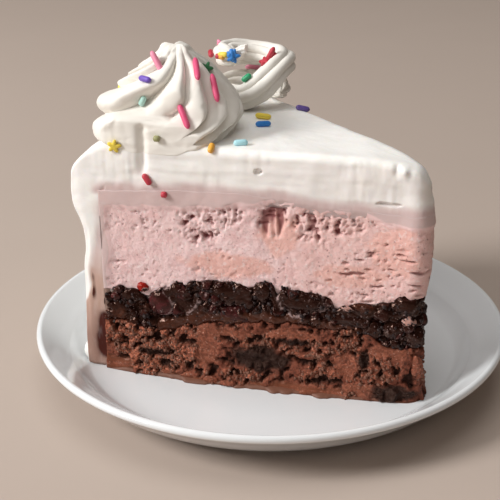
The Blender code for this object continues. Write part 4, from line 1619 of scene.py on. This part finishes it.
# Flat flower shapes: about where, their radius, and their colour.
FLOWERS = [
    ((-13.0, -17.5, 107.0), 2.3, "forest"),
    ((-21.5, 7.0, 104.5), 2.7, "blue"),
    ((-15.0, 17.0, 103.0), 2.3, "red"),
    ((-29.5, -44.5, 85.5), 2.4, "yellow"),
    ((-34.0, 20.0, 103.0), 2.3, "rose"),
    ((-44.0, -14.0, 93.0), 2.3, "green"),
]


def cream_surface():
    """Everything that sprinkles can lie on, for finding nearest points in millimetres."""
    points, faces = [], []
    for name in ("whipped_cream_body", "swirl_front_body", "swirl_back_body"):
        mesh = bpy.data.objects[name].data
        first = len(points)
        points += [vertex.co / MM for vertex in mesh.vertices]
        faces += [[first + i for i in face.vertices] for face in mesh.polygons]
    return BVHTree.FromPolygons(points, faces)


def sprinkle_finish():
    """Slightly mottled sugar in the colour of the shade attribute."""
    finish = Finish("sprinkle", IOR=1.45)
    shade = finish.node("ShaderNodeAttribute", {"attribute_name": "shade"}, output=0)
    finish.set("Base Color", finish.mix(0.08 * finish.clouds(1.2, 2), shade, (1.0, 1.0, 1.0, 1.0)))
    finish.set("Roughness", 0.34 + 0.2 * finish.clouds(1.0, 2))
    finish.bump(finish.clouds(0.7, 2), 0.06, 0.6)
    return finish.material


def rod_tree():
    """Geometry Nodes that lay a round-ended rod along every point's lean attribute."""
    tree, (points, width, finish) = geometry_tree(
        "sprinkle_rods", Points="Geometry", Width="Float", Finish="Material"
    )
    ball = node(tree, "GeometryNodeMeshUVSphere", None, {"Segments": 12, "Rings": 9, "Radius": width * 0.5})
    height = parts(node(tree, "GeometryNodeInputPosition"))[2]
    stretch = node(tree, "ShaderNodeCombineXYZ", None, {2: height.math("SIGN") * width * 0.5})
    capsule = node(tree, "GeometryNodeSetPosition", None, {"Geometry": ball, "Offset": stretch})
    lean = stored(tree, "lean", "FLOAT_VECTOR")
    turn = node(tree, "FunctionNodeAlignRotationToVector", {"axis": "Z"}, {"Vector": lean})
    longer = stored(tree, "length") / (width * 2)
    size = node(tree, "ShaderNodeCombineXYZ", None, {0: 1.0, 1: 1.0, 2: longer})
    placed = node(
        tree, "GeometryNodeInstanceOnPoints", None,
        {"Points": points, "Instance": capsule, "Rotation": turn, "Scale": size},
    )
    return end_tree(tree, placed, finish)


def flower(place, normal, radius):
    """A small pressed flower of five round lobes, as points and faces."""
    across = normal.orthogonal().normalized()
    up = normal.cross(across)
    rings = []
    for share, level in ((0.55, -0.6), (0.92, -0.5), (1.0, 0.0), (0.92, 0.5), (0.55, 0.6)):
        ring = []
        for step in range(40):
            around = math.tau * step / 40
            out = radius * share * (0.74 + 0.26 * math.cos(5 * around))
            spoke = across * math.cos(around) + up * math.sin(around)
            ring.append(tuple(place + spoke * out + normal * level))
        rings.append(ring)
    return rings_mesh(rings)


def store_vectors(made, key, vectors):
    """Gives each point of a mesh a vector."""
    data = made.data.attributes.new(key, "FLOAT_VECTOR", "POINT").data
    data.foreach_set("vector", [part for vector in vectors for part in vector])


def lay_rods(surface, shades, finish):
    """The rods, each on the highest of the places beneath it."""
    width = mm(sizes().sprinkle_width)
    places, leans, lengths, tints = [], [], [], []
    for place, lean, long, shade in RODS:
        nearest, normal = surface.find_nearest(Vector(place))[:2]
        lean = Vector(lean)
        lean = (lean - normal * lean.dot(normal) * 0.9).normalized()
        under = [surface.find_nearest(nearest + lean * long * share)[0] for share in (-0.35, 0.0, 0.35)]
        lift = max((point - nearest).dot(normal) for point in under)
        places.append(nearest + normal * (width * 0.42 + min(lift, 2.0)))
        leans.append(lean)
        lengths.append(long * MM)
        tints.append(getattr(shades, shade))
    points = mesh_object("sprinkle_points", places, [], finish, {"length": lengths})
    store_vectors(points, "lean", leans)
    store_vectors(points, "shade", tints)
    rods = run_nodes("sprinkle_rods", points, rod_tree(), {"Width": width * MM, "Finish": finish})
    bpy.data.objects.remove(points)
    return rods


def lay_flowers(surface, shades, finish):
    """The flowers, each flat on the surface."""
    rows, faces, tints = [], [], []
    for place, radius, shade in FLOWERS:
        nearest, normal = surface.find_nearest(Vector(place))[:2]
        more, skin = flower(nearest + normal * 0.6, normal, radius)
        faces += [tuple(len(rows) + i for i in face) for face in skin]
        rows += more
        tints += [getattr(shades, shade)] * len(more)
    flowers = mesh_object("sprinkle_flowers", rows, faces, finish)
    store_vectors(flowers, "shade", tints)
    return tidy(flowers)


class CAKE_OT_sprinkles(bpy.types.Operator):
    """Scatter the sprinkles over the cream and the swirls"""

    bl_idname = "cake.sprinkles"
    bl_label = "Sprinkles"

    def execute(self, context):
        surface, shades, finish = cream_surface(), context.scene.sprinkle_colours, sprinkle_finish()
        for lay in (lay_rods, lay_flowers):
            made = lay(surface, shades, finish)
            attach(made, "root")
        return {"FINISHED"}


# ---------------------------------------------------------------- stage


# Where the camera is, which way it looks round the upright axis from +X, how far down, and its slight roll.
CAMERA_PLACE = (209.08, -295.50, 194.95)
CAMERA_YAW, CAMERA_PITCH, CAMERA_ROLL = 2.2062, 0.4019, -0.0056
# The lens and the width of the picture behind it.
LENS, SENSOR_WIDTH = 81.07, 36


def soft_light(name, left, front, up, distance, size, power):
    """A round soft light. Its direction from the slice is given as the camera sees it."""
    data = bpy.data.lights.new(name, "AREA")
    data.shape, data.size, data.energy, data.color = "DISK", size, power, (1.0, 0.99, 0.975)
    forward = Vector((math.cos(CAMERA_YAW), math.sin(CAMERA_YAW), 0))
    right = Vector((math.sin(CAMERA_YAW), -math.cos(CAMERA_YAW), 0))
    towards = (-left * right - front * forward + Vector((0, 0, up))).normalized()
    made = bpy.data.objects.new(name, data)
    made.location = Vector((0, 0, 0.05)) + towards * distance
    made.rotation_euler = towards.to_track_quat("Z", "Y").to_euler()
    bpy.context.scene.collection.objects.link(made)
    return made


def camera():
    """A camera in front of the slice, looking down on it."""
    data = bpy.data.cameras.new("camera")
    data.sensor_width, data.lens = SENSOR_WIDTH, LENS
    made = bpy.data.objects.new("camera", data)
    yaw, pitch, roll = CAMERA_YAW, CAMERA_PITCH, CAMERA_ROLL
    forward = Vector((math.cos(yaw) * math.cos(pitch), math.sin(yaw) * math.cos(pitch), -math.sin(pitch)))
    level = Vector((math.sin(yaw), -math.cos(yaw), 0))
    upward = level.cross(forward)
    right = math.cos(roll) * level + math.sin(roll) * upward
    up = math.cos(roll) * upward - math.sin(roll) * level
    turned = Matrix((right, up, -forward)).transposed()
    made.location = Vector(CAMERA_PLACE) * MM
    made.rotation_euler = turned.to_euler()
    bpy.context.scene.collection.objects.link(made)
    bpy.context.scene.camera = made


def table_finish():
    """Plain pale table top."""
    finish = Finish("table")
    finish.set("Base Color", finish.mix(finish.clouds(60, 2), paint("table"), paint("table", 0.97)))
    finish.set("Roughness", 0.85 + 0.05 * finish.clouds(5, 2))
    finish.bump(finish.clouds(0.8, 2), 0.03, 0.4)
    return finish.material


class CAKE_OT_stage(bpy.types.Operator):
    """Set the table, the soft lights and the camera"""

    bl_idname = "cake.stage"
    bl_label = "Stage"

    def execute(self, context):
        half_width = 3000
        corners = [(x * half_width, y * half_width, 0) for x, y in ((-1, -1), (1, -1), (1, 1), (-1, 1))]
        table = mesh_object("table", corners, [(0, 1, 2, 3)], table_finish())
        soft_light("key", left=0.80, front=0.25, up=0.55, distance=1.7, size=0.6, power=27.0)
        ceiling = soft_light("ceiling", left=0.1, front=-0.1, up=1.0, distance=1.8, size=1.8, power=15.0)
        fill = soft_light("front_fill", left=0.38, front=0.92, up=0.28, distance=1.4, size=0.9, power=2.5)
        ceiling.visible_glossy = fill.visible_glossy = False
        world = bpy.data.worlds.new("studio")
        world.use_nodes = True
        shade = world.node_tree.nodes["Background"]
        shade.inputs[0].default_value = (0.108, 0.092, 0.078, 1)
        shade.inputs[1].default_value = 1.0
        context.scene.world = world
        context.scene.view_settings.view_transform = "Standard"
        camera()
        return {"FINISHED"}


class CAKE_PT_panel(bpy.types.Panel):
    """Lists the steps that build the slice"""

    bl_idname = "CAKE_PT_panel"
    bl_label = "Ice Cream Cake Slice"
    bl_space_type = "VIEW_3D"
    bl_region_type = "UI"
    bl_category = "Cake"

    def draw(self, context):
        for step in STEPS:
            self.layout.operator(step.bl_idname)
        scene = context.scene
        for group in (scene.cake_sizes, scene.cake_colours, scene.sprinkle_colours):
            for name in group.__annotations__:
                self.layout.prop(group, name)


STEPS = (CAKE_OT_stage, CAKE_OT_plate, CAKE_OT_layers, CAKE_OT_cream, CAKE_OT_crumbs, CAKE_OT_swirls,
         CAKE_OT_sprinkles)
CLASSES = (CakeSizes, CakeColours, SprinkleColours, *STEPS, CAKE_PT_panel)


def register():
    for made in CLASSES:
        bpy.utils.register_class(made)
    bpy.types.Scene.cake_sizes = PointerProperty(type=CakeSizes)
    bpy.types.Scene.cake_colours = PointerProperty(type=CakeColours)
    bpy.types.Scene.sprinkle_colours = PointerProperty(type=SprinkleColours)


def unregister():
    del bpy.types.Scene.sprinkle_colours
    del bpy.types.Scene.cake_colours
    del bpy.types.Scene.cake_sizes
    for made in reversed(CLASSES):
        bpy.utils.unregister_class(made)


def main():
    register()
    for step in STEPS:
        group, name = step.bl_idname.split(".")
        getattr(getattr(bpy.ops, group), name)()


if __name__ == "__main__":
    main()
